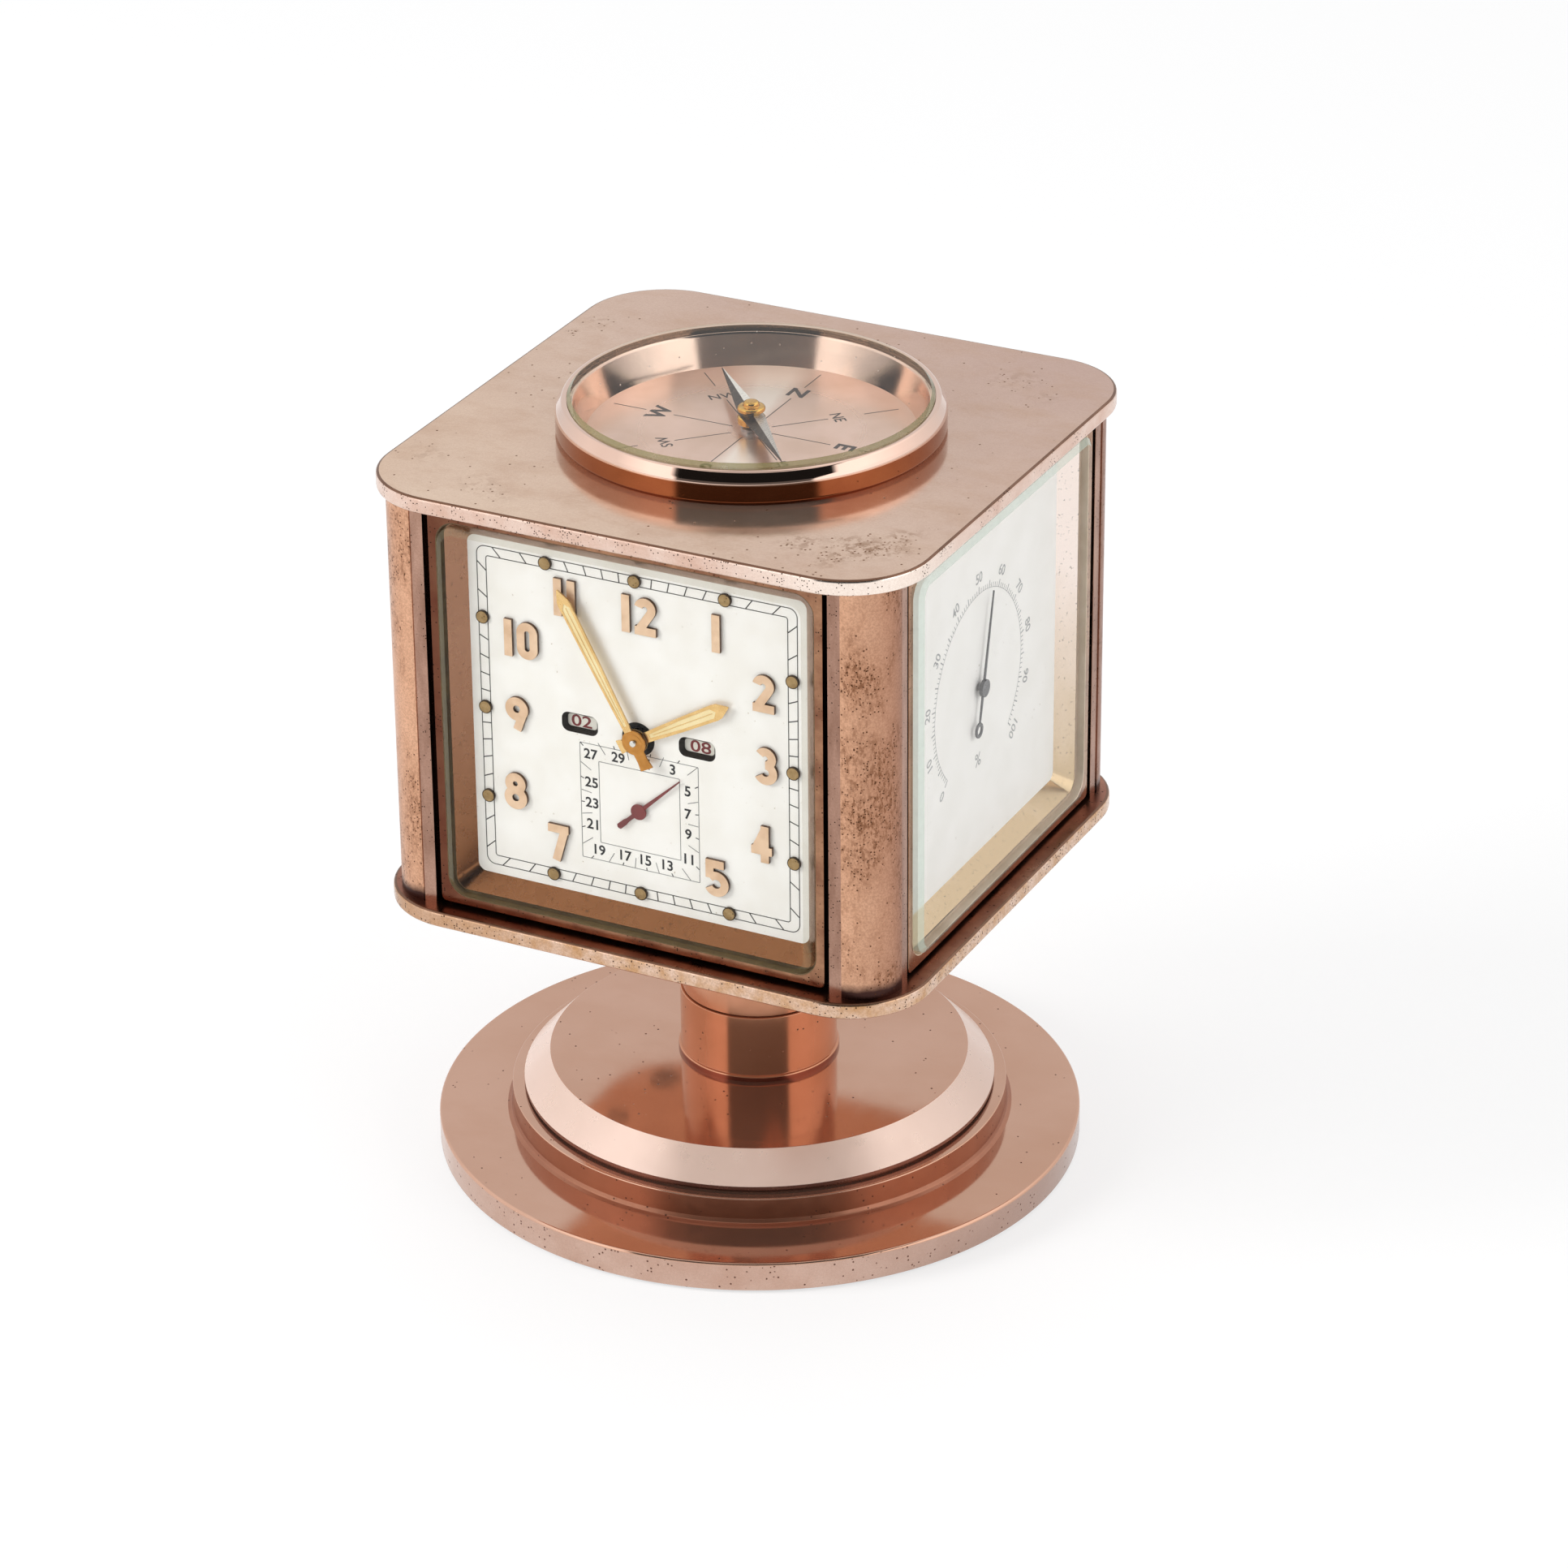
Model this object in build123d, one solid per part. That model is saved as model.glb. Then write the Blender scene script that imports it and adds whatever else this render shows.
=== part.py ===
"""Desk weather station clock: a four-sided turning body on a round base, with a compass on top.

Millimetres, +Z up. The origin is the middle of the base where it meets the table. The clock looks
toward -Y, the hygrometer toward +X, the barometer toward +Y and the thermometer toward -X.
"""
import os
from math import atan2, cos, degrees, pi, radians, sin, sqrt, tan

from build123d import *

# Base, from the table up
flange_diameter = 95.6
flange_thickness = 4.6
flange_edge_round = 0.4
pad_inset = 3.3
pad_thickness = 1.4
pad_proud = 0.4
pad_hole_gap = 1.0
flange_ledge = 11.0
step_height = 4.1
step_cove = 0.8
step_cove_hollow = 0.3
step_ledge = 1.8
disc_edge_height = 1.0
disc_chamfer_width = 3.95
disc_chamfer_height = 4.1
neck_diameter = 23.2
neck_height = 10.5
neck_foot_width = 0.35
neck_foot_height = 1.5
neck_groove_width = 0.35
neck_groove_depth = 0.3
collar_inset = 0.3
collar_joint_gap = 0.1
collar_height = 22.2
spindle_diameter = 8.0
spindle_head_diameter = 16.0
spindle_head_thickness = 2.6
spindle_slot_width = 1.6
spindle_slot_depth = 1.0
spindle_tail = 1.0
nut_across_flats = 13.0
nut_thickness = 4.0
nut_gap = 0.1

# Plates and posts; the faces are placed inward from the plates' edge
plate_width = 84.0
plate_corner_radius = 12.2
plate_thickness = 2.4
plate_edge_round = 0.45
plate_overhang = 2.5
post_corner_radius = 6.3
post_rib_step = 0.15
post_width = 8.3
post_ledge_width = 1.6
post_leg = 1.8
tie_inset = 4.8
tie_diameter = 3.0
tie_head_diameter = 5.0
tie_head_depth = 1.3
tie_slot_width = 0.7
tie_slot_depth = 0.5
tie_thread_depth = 1.4
screw_hole_clearance = 0.05

# Faces
frame_recess = 0.15
frame_side_gap = 0.4
frame_foot_gap = 0.25
frame_head_gap = 0.15
frame_flange_width = 0.35
frame_flange_depth = 1.8
frame_corner_radius = 0.8
frame_rim = 1.35
opening_radius = 3.2
glass_rebate = 1.2
glass_side_gap = 0.35
glass_thickness = 2.3
glass_bevel_width = 1.0
glass_bevel_depth = 0.5
glass_seat_width = 0.85
seat_radius = 1.8
wall_run = 1.6
sight_radius = 0.4
dial_thickness = 0.5
dial_hidden_rim = 1.8
dial_clearance = 0.1
tray_thickness = 0.8
tray_rim = 0.8
face_screw_spread = 21.0
face_screw_behind_flange = 1.5
face_screw_diameter = 1.8
face_screw_length = 4.2
face_screw_head_diameter = 3.4
face_screw_head_depth = 0.9
face_screw_slot_width = 0.5
face_screw_slot_depth = 0.4

# Clock dial
numeral_height = 6.05
numeral_stroke = 1.28
numeral_width = 3.5
numeral_gap = 1.02
numeral_thickness = 0.5
numeral_row_inset = 5.05
numeral_column_inset = 4.55
numeral_beside = 12.0
numeral_side_row = 11.9
dot_square_inset = 2.15
dot_diameter = 2.0
dot_thickness = 0.4
window_centre_across = 9.2
window_centre_up = 0.4
window_width = 5.0
window_height = 2.5
date_pivot_below = 11.2

# Numeral shapes, as shares of a numeral's half height or half width
upper_loop_share = 0.46
four_crossing_share = 0.45
four_arm_share = 1.5
five_bowl_share = 0.6
five_roof_share = 1.15
seven_foot_share = 0.4
nine_loop_share = 0.54
narrow_one_share = 0.55

# Hands, with angles clockwise from twelve at rest
minute_angle = -28.7
hour_angle = 60.4
date_angle = 46.9
minute_tip_inset = 2.3
minute_tail = 3.9
minute_width = 2.3
hour_length = 16.7
hour_tail = 3.6
hour_width = 2.5
hand_thickness = 0.25
hand_numeral_gap = 0.12
hand_gap = 0.33
hand_glass_gap = 0.63
hand_tail_share = 0.36
hand_tail_point_share = 0.25
hand_shoulder_share = 0.82
hand_hub_share = 1.5
hand_slot_share = 0.42
hand_slot_low_share = 0.26
hand_slot_high_share = 0.86
arbor_diameter = 1.8
running_fit = 0.05
hour_pipe_wall = 0.5
hour_wheel_diameter = 10.8
wheel_thickness = 0.3
wheel_gap = 0.1
wheel_side_gap = 1.2
cap_diameter = 2.6
cap_height = 0.42
cap_round = 0.17
date_length = 9.0
date_tail = 4.1
date_width = 0.9
date_tip_width = 0.24
date_hand_gap = 0.12
date_hand_thickness = 0.2
date_hub_diameter = 2.2
date_arbor_diameter = 1.2
date_arbor_tail = 0.6
calendar_disc_thickness = 0.3
calendar_disc_margin = 0.7
calendar_disc_rim_gap = 0.9
calendar_wheel_gap = 0.15
calendar_dial_gap = 0.35
calendar_stem_diameter = 1.6
calendar_stem_length = 2.6

# Clock movement, behind its front plate
movement_half = 20.5
movement_corner_radius = 2.0
movement_depth = 8.4
back_plate_thickness = 1.1
pillar_diameter = 3.2
pillar_inset = 2.9
barrel_clearance = 1.2
barrel_rim_width = 0.8
barrel_rim_thickness = 0.9
barrel_back_gap = 0.8
barrel_front_gap = 1.4
winding_arbor_diameter = 2.6
key_gap = 1.0
key_boss_diameter = 5.2
key_boss_length = 6.4
key_wing_span = 15.0
key_wing_height = 5.6
key_wing_thickness = 1.6
key_wing_seat = 1.5
key_wing_round = 1.8
knob_gap = 1.2
knob_diameter = 8.0
knob_thickness = 3.0
knob_ridges = 18
knob_ridge_diameter = 0.7

# Weather instruments
needle_length = 14.2
needle_tail = 7.4
needle_width = 0.55
needle_tip_width = 0.16
needle_hub_diameter = 2.6
needle_hub_height = 0.3
needle_ring_diameter = 2.3
needle_ring_bore = 1.3
needle_thickness = 0.25
needle_above_dial = 0.7
needle_arbor_diameter = 1.2
boss_diameter = 4.0
boss_length = 3.0
coil_gap = 0.3
coil_depth = 5.0
coil_strip = 0.45
coil_start_radius = 1.2
coil_pitch = 1.15
coil_stud_diameter = 1.4
hygrometer_turns = 6
thermometer_turns = 4
hygrometer_angle = 13.0
thermometer_angle = -21.0
barometer_angle = 8.0
capsule_diameter = 34.0
capsule_thickness = 5.0
capsule_round = 1.2
capsule_lever_gap = 1.4
capsule_rings = 4
capsule_ring_height = 0.5
capsule_ring_width = 1.3
capsule_ring_pitch = 3.0
capsule_ring_inset = 2.5
capsule_stud_diameter = 3.0
capsule_stud_height = 0.3
bracket_width = 8.0
bracket_thickness = 1.6
bracket_clearance = 0.8
lever_pivot_across = 8.0
lever_pin_diameter = 1.4
lever_pin_tail = 0.6
lever_thickness = 0.8
lever_pinion_diameter = 2.4
lever_sector_angle = 60.0
lever_gap = 0.15
lever_eye_width = 1.2
lever_heel_length = 3.8
lever_heel_width = 1.4

# Compass, inward from the widest line of its bezel
bezel_diameter = 54.9
bezel_height = 4.8
bezel_foot_inset = 0.4
bezel_foot_height = 0.6
bezel_bulge_height = 1.9
bezel_top_inset = 1.0
bezel_lip = 0.45
compass_glass_gap = 0.05
compass_glass_thickness = 1.4
compass_glass_bevel = 0.5
compass_glass_rebate = 0.7
compass_seat_width = 0.25
compass_recess_depth = 1.2
compass_recess_inset = 1.2
compass_dial_thickness = 0.7
cone_foot_width = 1.0
cone_top_width = 0.5
cone_lip = 0.3
pivot_diameter = 1.0
pivot_foot_diameter = 3.0
pivot_foot_height = 0.5
pivot_point_height = 0.7
compass_needle_tip_gap = 6.5
compass_needle_width = 4.2
compass_needle_waist_share = 0.12
compass_needle_thickness = 0.3
compass_needle_angle = 130.0
compass_cap_diameter = 4.0
compass_cap_height = 1.8
compass_cap_roof = 0.5
compass_cap_glass_gap = 0.2

# How far a drawn shape sinks into the one it joins, and a cutter runs past the face it opens
join = 0.2
past = 1.0

# Base, worked out from the sizes above
pad_diameter = flange_diameter - 2 * pad_inset
step_diameter = flange_diameter - 2 * flange_ledge
disc_diameter = step_diameter - 2 * step_ledge
disc_top_diameter = disc_diameter - 2 * disc_chamfer_width
flange_top = pad_proud + flange_thickness
step_top = flange_top + step_height
disc_edge_top = step_top + disc_edge_height
disc_top = disc_edge_top + disc_chamfer_height
neck_top = disc_top + neck_height
collar_foot = neck_top + collar_joint_gap
body_bottom = collar_foot + collar_height

# Distances of the face's parts to its sides, from the middle of the face
post_face = plate_width / 2 - plate_overhang
post_round_start = post_face - post_corner_radius
post_rib_face = post_face - post_rib_step
post_inner_side = post_face - post_width
tie_offset = post_face - tie_inset
frame_flange_half = post_inner_side - frame_side_gap
frame_half = frame_flange_half - frame_flange_width
opening_half = frame_half - frame_rim
glass_half = opening_half - glass_side_gap
glass_radius = opening_radius - glass_side_gap
seat_half = glass_half - glass_seat_width
sight_half = seat_half - wall_run
dial_half = sight_half + dial_hidden_rim
dot_square = sight_half - dot_square_inset
numeral_row = dot_square - numeral_row_inset
numeral_column = dot_square - numeral_column_inset
minute_length = sight_half - minute_tip_inset

# Distances outward from the main axis, from the frame's front inward
frame_front = post_rib_face - frame_recess
frame_flange_front = frame_front - frame_flange_depth
glass_seat = frame_front - glass_rebate
cap_top = glass_seat - hand_glass_gap
arbor_top = cap_top - cap_height
minute_low = arbor_top - hand_thickness
hour_low = minute_low - hand_gap - hand_thickness
dial_front = hour_low - hand_numeral_gap - numeral_thickness
date_low = hour_low - date_hand_gap - date_hand_thickness
dial_back = dial_front - dial_thickness
calendar_low = dial_back - calendar_dial_gap - calendar_disc_thickness
wheel_low = calendar_low - calendar_wheel_gap - wheel_thickness
tray_front = wheel_low - wheel_gap
tray_back = tray_front - tray_thickness
movement_back = tray_back - movement_depth
back_plate_back = movement_back - back_plate_thickness
face_screw_depth = frame_flange_front - face_screw_behind_flange

# Clock movement, worked out from the dial's windows and the plates
pipe_diameter = arbor_diameter + 2 * running_fit + 2 * hour_pipe_wall
calendar_inner_edge = window_centre_across - window_width / 2 - calendar_disc_margin
calendar_outer_edge = dial_half - tray_rim - calendar_disc_rim_gap
calendar_pivot_across = (calendar_inner_edge + calendar_outer_edge) / 2
pillar_spread = movement_half - pillar_inset
barrel_space = sqrt(2) * pillar_spread - pillar_diameter / 2 - arbor_diameter / 2
barrel_reach = barrel_space / 2 - barrel_clearance
barrel_offset = (arbor_diameter / 2 + barrel_clearance + barrel_reach) / sqrt(2)

# Levels of the body
post_foot = body_bottom + plate_thickness
post_height = 2 * frame_flange_half + frame_foot_gap + frame_head_gap
post_top = post_foot + post_height
body_top = post_top + plate_thickness
face_centre = post_foot + frame_foot_gap + frame_flange_half
nut_bottom = post_foot + nut_gap

# Compass radii and levels
bezel_bulge = bezel_diameter / 2
bezel_crown = bezel_bulge - bezel_top_inset
bezel_rebate = bezel_crown - bezel_lip
compass_glass_radius = bezel_rebate - compass_glass_gap
bezel_wall = compass_glass_radius - compass_seat_width
compass_recess = bezel_wall - compass_recess_inset
compass_dial_radius = compass_recess - running_fit
cone_foot = compass_recess - cone_foot_width
cone_top = bezel_wall - cone_top_width
compass_needle_length = cone_foot - compass_needle_tip_gap
compass_floor = body_top - compass_recess_depth
compass_dial_top = compass_floor + compass_dial_thickness
compass_seat = body_top + bezel_height - compass_glass_rebate
compass_cap_top = compass_seat - compass_cap_glass_gap
compass_needle_top = compass_cap_top - compass_cap_height
compass_needle_low = compass_needle_top - compass_needle_thickness

nodes = {}


def disc(diameter, low, high):
    """A round solid on the main axis."""
    return Pos(0, 0, low) * extrude(Circle(diameter / 2), high - low)


def bore(diameter, low, high):
    """A round cutter for a through hole: it runs past both faces."""
    return disc(diameter, low - past, high + past)


def square(half, radius, low, high):
    """A rounded square solid on the main axis."""
    return Pos(0, 0, low) * extrude(RectangleRounded(2 * half, 2 * half, radius), high - low)


def tapered_square(half_low, radius_low, low, half_high, radius_high, high):
    """A rounded square that changes size evenly from one level to another."""
    foot = Pos(0, 0, low) * RectangleRounded(2 * half_low, 2 * half_low, radius_low)
    head = Pos(0, 0, high) * RectangleRounded(2 * half_high, 2 * half_high, radius_high)
    return loft([foot, head])


def turned(points):
    """A solid turned about the main axis from straight runs of its half section."""
    section = make_face(Plane.XZ * Polyline(*points, close=True))
    return revolve(section, Axis.Z)


def countersunk(diameter, head_diameter, head_depth, low, high):
    """A screw pointing up with a cone head whose flat end lies at its foot."""
    head = turned([
        (0, low), (head_diameter / 2, low), (diameter / 2, low + head_depth), (0, low + head_depth)])
    return disc(diameter, low, high) + head


def at(across, up, shape):
    """Move a shape within its face: sideways to the right and upward."""
    return Pos(across, up, 0) * shape


# A face is drawn lying down, its outside upward, and is then stood up and turned to its side.
side_turns = {"clock": 0, "hygrometer": 90, "barometer": 180, "thermometer": 270}


def stand(side, shape):
    """Stand a face up: its local X goes right, Y goes up and Z goes out from the axis."""
    upright = Plane(origin=(0, 0, face_centre), x_dir=(1, 0, 0), z_dir=(0, -1, 0))
    return Rot(0, 0, side_turns[side]) * (upright.location * shape)


def clockwise(angle, shape):
    """Turn a shape clockwise about the middle of its face."""
    return Rot(0, 0, -angle) * shape


def bar(start, end):
    """A straight stroke of a numeral, square at both ends."""
    run = Line(start, end)
    middle = run @ 0.5
    angle = degrees(atan2(end[1] - start[1], end[0] - start[0]))
    return Pos(middle.X, middle.Y) * Rot(0, 0, angle) * Rectangle(run.length, numeral_stroke)


def bow(up, radius, start_angle, sweep):
    """A curved stroke of a numeral about a point straight above or below its middle."""
    outer = CenterArc((0, up), radius + numeral_stroke / 2, start_angle, sweep)
    inner = CenterArc((0, up), radius - numeral_stroke / 2, start_angle, sweep)
    return make_face([outer, inner, Line(outer @ 0, inner @ 0), Line(outer @ 1, inner @ 1)])


def hoop(up, radius):
    """A closed round stroke of a numeral."""
    return Pos(0, up) * (Circle(radius + numeral_stroke / 2) - Circle(radius - numeral_stroke / 2))


def digit(value):
    """One plain numeral, its middle at the origin, made of strokes."""
    top = (numeral_height - numeral_stroke) / 2
    side = (numeral_width - numeral_stroke) / 2
    half_height = numeral_height / 2
    half_width = numeral_width / 2
    upper = top * upper_loop_share
    lower = top - upper
    if value == 0:
        high_bend = bow(top - side, side, 0, 180)
        low_bend = bow(side - top, side, 180, 180)
        walls = [bar((way * side, side - top), (way * side, top - side)) for way in (-1, 1)]
        return high_bend + low_bend + walls
    if value == 1:
        return bar((0, -half_height), (0, half_height))
    if value == 2:
        end_angle = -30
        curve = bow(top - side, side, end_angle, 165 - end_angle)
        end = (side * cos(radians(end_angle)), top - side + side * sin(radians(end_angle)))
        return curve + bar(end, (-side, -top)) + bar((-half_width, -top), (half_width, -top))
    if value == 3:
        return bow(top - upper, upper, -90, 235) + bow(lower - top, lower, -150, 240)
    if value == 4:
        stem = side * four_crossing_share
        level = -top * four_crossing_share
        arm = bar((-half_width, level), (side * four_arm_share, level))
        return arm + bar((stem, -half_height), (stem, half_height)) + bar((stem, top), (-side, level))
    if value == 5:
        bowl = top * five_bowl_share
        roof = bar((-half_width, top), (side * five_roof_share, top))
        return roof + bar((-side, top), (-side, 0)) + bow(bowl - top, bowl, -150, 290)
    if value == 7:
        roof = bar((-half_width, top), (half_width, top))
        return roof + bar((side, top), (-side * seven_foot_share, -half_height))
    if value == 8:
        return hoop(top - upper, upper) + hoop(lower - top, lower)
    loop = top * nine_loop_share
    return hoop(top - loop, loop) + bar((loop, top - loop), (0, -top))


def hour_place(hour):
    """Middle of each hour numeral: the numbers follow the square edge of the dial."""
    across = {1: 1, 5: 1, 7: -1, 11: -1}
    if hour in across:
        up = numeral_row if hour in (1, 11) else -numeral_row
        return across[hour] * numeral_beside, up
    if hour == 12:
        return 0, numeral_row
    side = 1 if hour < 6 else -1
    rise = {2: 1, 3: 0, 4: -1, 8: -1, 9: 0, 10: 1}[hour]
    return side * numeral_column, rise * numeral_side_row


def dot_place(hour):
    """An hour dot lies where the hour's ray meets a square."""
    angle = radians(30 * hour)
    reach = dot_square / max(abs(sin(angle)), abs(cos(angle)))
    return reach * sin(angle), reach * cos(angle)


def make_base():
    pad = disc(pad_diameter, 0, pad_thickness)
    nodes["base_pad"] = pad - bore(spindle_head_diameter + 2 * pad_hole_gap, 0, pad_thickness)

    wall = step_diameter / 2
    flange = disc(flange_diameter, pad_proud, flange_top)
    flange = fillet(flange.edges().filter_by(GeomType.CIRCLE), flange_edge_round)
    hollow = step_cove * step_cove_hollow
    cove = turned([
        (wall - join, flange_top - join), (wall + step_cove, flange_top - join),
        (wall + step_cove, flange_top), (wall + hollow, flange_top + hollow),
        (wall, flange_top + step_cove), (wall - join, flange_top + step_cove)])
    flange += disc(step_diameter, flange_top - join, step_top) + cove
    head_top = pad_thickness + spindle_head_thickness
    flange -= disc(pad_diameter, pad_proud - past, pad_thickness)
    flange -= disc(spindle_head_diameter, 0, head_top)
    flange -= bore(spindle_diameter, head_top, step_top)
    nodes["base_flange"] = flange

    edge = disc_diameter / 2
    face = disc_top_diameter / 2
    hole = spindle_diameter / 2
    nodes["base_disc"] = turned([
        (hole, step_top), (edge, step_top), (edge, disc_edge_top), (face, disc_top), (hole, disc_top)])

    side = neck_diameter / 2
    foot = side + neck_foot_width
    groove_low = disc_top + neck_foot_height
    groove_high = groove_low + neck_groove_width
    nodes["neck_tube"] = turned([
        (hole, disc_top), (foot, disc_top), (foot, groove_low), (side - neck_groove_depth, groove_low),
        (side - neck_groove_depth, groove_high), (side, groove_high), (side, neck_top), (hole, neck_top)])

    spindle_top = nut_bottom + nut_thickness + spindle_tail
    spindle = disc(spindle_diameter, head_top - join, spindle_top)
    spindle += disc(spindle_head_diameter, pad_thickness, head_top)
    slot = Pos(0, 0, pad_thickness) * Box(
        spindle_head_diameter + past, spindle_slot_width, 2 * spindle_slot_depth)
    nodes["spindle"] = spindle - slot

    nut_outline = RegularPolygon(nut_across_flats / 2, 6, major_radius=False)
    nut = Pos(0, 0, nut_bottom) * extrude(nut_outline, nut_thickness)
    nodes["spindle_nut"] = nut - bore(spindle_diameter, nut_bottom, spindle_top)


def make_post():
    """One corner post, drawn for the corner where X and Y are both positive."""
    ledge = post_inner_side - post_ledge_width
    inner = ledge + post_leg
    depth = tray_back
    start = post_round_start
    outline = Polyline(
        (start, post_face), (start, post_rib_face), (post_inner_side, post_rib_face),
        (post_inner_side, depth), (ledge, depth), (ledge, inner), (inner, ledge), (depth, ledge),
        (depth, post_inner_side), (post_rib_face, post_inner_side), (post_rib_face, start),
        (post_face, start))
    corner = RadiusArc((post_face, start), (start, post_face), -post_corner_radius)
    post = Pos(0, 0, post_foot) * extrude(make_face([*outline.edges(), corner]), post_height)
    tie_bore = bore(tie_diameter + 2 * screw_hole_clearance, post_foot, post_top)
    return post - Pos(tie_offset, tie_offset, 0) * tie_bore


def make_body():
    half = plate_width / 2
    names = ["post_back_right", "post_back_left", "post_front_left", "post_front_right"]
    post = make_post()
    for turn, name in enumerate(names):
        nodes[name] = Rot(0, 0, 90 * turn) * post

    top = square(half, plate_corner_radius, post_top, body_top)
    top = fillet(top.edges().group_by(Axis.Z)[-1], plate_edge_round)
    top = chamfer(top.edges().group_by(Axis.Z)[0], plate_edge_round / 2)
    bottom = square(half, plate_corner_radius, body_bottom, post_foot)
    bottom = fillet(bottom.edges().group_by(Axis.Z)[-1], plate_edge_round)
    bottom = fillet(bottom.edges().group_by(Axis.Z)[0], plate_edge_round)

    tie = countersunk(tie_diameter, tie_head_diameter, tie_head_depth, body_bottom,
                      post_top + tie_thread_depth)
    tie_slot = Pos(0, 0, body_bottom) * Box(
        tie_head_diameter + past, tie_slot_width, 2 * tie_slot_depth)
    tie_hole = bore(tie_diameter + 2 * screw_hole_clearance, body_bottom, post_foot)
    ties = []
    for x in (-tie_offset, tie_offset):
        for y in (-tie_offset, tie_offset):
            place = Pos(x, y, 0)
            ties.append(place * (tie - tie_slot))
            bottom -= place * (tie_hole + tie)
            top -= place * tie
    nodes["tie_screws"] = Compound(children=ties)

    small = countersunk(face_screw_diameter, face_screw_head_diameter, face_screw_head_depth,
                        body_bottom, body_bottom + face_screw_length)
    small_slot = Pos(0, 0, body_bottom) * Box(
        face_screw_head_diameter + past, face_screw_slot_width, 2 * face_screw_slot_depth)
    small_hole = bore(face_screw_diameter + 2 * screw_hole_clearance, body_bottom, post_foot)
    screws = []
    for turn in (1, 2, 3):
        for across in (-face_screw_spread, face_screw_spread):
            place = Rot(0, 0, 90 * turn) * Pos(across, -face_screw_depth, 0)
            screws.append(place * (small - small_slot))
            bottom -= place * (small_hole + small)
    nodes["face_screws"] = Compound(children=screws)

    turning_hole = spindle_diameter + 2 * running_fit
    nodes["bottom_plate"] = bottom - bore(turning_hole, body_bottom, post_foot)
    nodes["top_plate"] = top - disc(2 * compass_recess, compass_floor, body_top + past)
    collar = disc(neck_diameter - 2 * collar_inset, collar_foot, body_bottom)
    nodes["neck_collar"] = collar - bore(turning_hole, collar_foot, body_bottom)


def make_frame():
    """The frame of one face, lying down: it holds the glass in front and the dial behind."""
    frame = square(frame_flange_half, frame_corner_radius, tray_back, frame_flange_front)
    frame += square(frame_half, frame_corner_radius, frame_flange_front - join, frame_front)
    frame -= square(opening_half, opening_radius, glass_seat, frame_front + past)
    frame -= square(dial_half + dial_clearance, frame_corner_radius, tray_back - past, dial_front)
    slope = wall_run / (glass_seat - dial_front)
    return frame - tapered_square(
        sight_half - slope * join, sight_radius, dial_front - join,
        seat_half + slope * join, seat_radius, glass_seat + join)


def make_glass():
    bevel_low = glass_seat + glass_thickness - glass_bevel_depth
    body = square(glass_half, glass_radius, glass_seat, bevel_low)
    return body + tapered_square(
        glass_half, glass_radius, bevel_low,
        glass_half - glass_bevel_width, glass_radius - glass_bevel_width, bevel_low + glass_bevel_depth)


def make_tray():
    """The plate behind a dial, with a rim that the dial rests on."""
    tray = square(dial_half, frame_corner_radius, tray_back, dial_back)
    return tray - square(dial_half - tray_rim, frame_corner_radius, tray_front, dial_back + past)


def make_dial():
    return square(dial_half, frame_corner_radius, dial_back, dial_front)


def face_screw_holes():
    """Tapped holes in the lower edge of a fixed frame, lying down with the frame."""
    low = body_bottom - face_centre
    hole = Rot(-90, 0, 0) * disc(face_screw_diameter, 0, face_screw_length)
    return [Pos(across, low, face_screw_depth) * hole for across in (-face_screw_spread, face_screw_spread)]


def hand(length, tail, width, low):
    """A leaf-shaped hand with an open slot for its light inlay, pointing up."""
    heel = width * hand_tail_share
    shoulder = length * hand_shoulder_share
    outline = Polyline(
        (-heel, -tail), (0, -tail - width * hand_tail_point_share), (heel, -tail), (width / 2, shoulder),
        (0, length), (-width / 2, shoulder), close=True)
    blade = Pos(0, 0, low) * extrude(make_face(outline), hand_thickness)
    slot_low = length * hand_slot_low_share
    slot_high = length * hand_slot_high_share
    slot = SlotOverall(slot_high - slot_low, width * hand_slot_share, rotation=90)
    cutter = extrude(slot, hand_thickness + 2 * past)
    blade -= Pos(0, (slot_low + slot_high) / 2, low - past) * cutter
    return blade + disc(width * hand_hub_share, low, low + hand_thickness)


def make_hour_numerals():
    solids = []
    for hour in (12, 1, 2, 3, 4, 5, 7, 8, 9, 10, 11):
        figures = [int(letter) for letter in str(hour)]
        if hour == 11:
            reach = (numeral_stroke + numeral_gap) / 2
        elif len(figures) == 2:
            reach = (numeral_width + numeral_gap - (numeral_width - numeral_stroke) * narrow_one_share) / 2
        else:
            reach = 0
        across, up = hour_place(hour)
        for way, figure in zip((-1, 1), figures):
            place = Pos(across + way * reach, up, dial_front)
            solids += (place * extrude(digit(figure), numeral_thickness)).solids()
    nodes["hour_numerals"] = stand("clock", Compound(children=solids))


def make_clock_face():
    """Frame, glass and dial of the clock, with the raised numerals and dots."""
    nodes["clock_frame"] = stand("clock", make_frame())
    nodes["clock_glass"] = stand("clock", make_glass())
    dial = make_dial() - bore(pipe_diameter + 2 * running_fit, dial_back, dial_front)
    dial -= at(0, -date_pivot_below, bore(date_arbor_diameter + 2 * running_fit, dial_back, dial_front))
    opening = extrude(Rectangle(window_width, window_height), dial_thickness + 2 * past)
    for side in (-1, 1):
        dial -= Pos(side * window_centre_across, window_centre_up, dial_back - past) * opening
    nodes["clock_dial"] = stand("clock", dial)
    make_hour_numerals()
    dot = disc(dot_diameter, dial_front, dial_front + dot_thickness)
    dots = [at(*dot_place(hour), dot) for hour in range(12)]
    nodes["hour_dots"] = stand("clock", Compound(children=dots))


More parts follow.
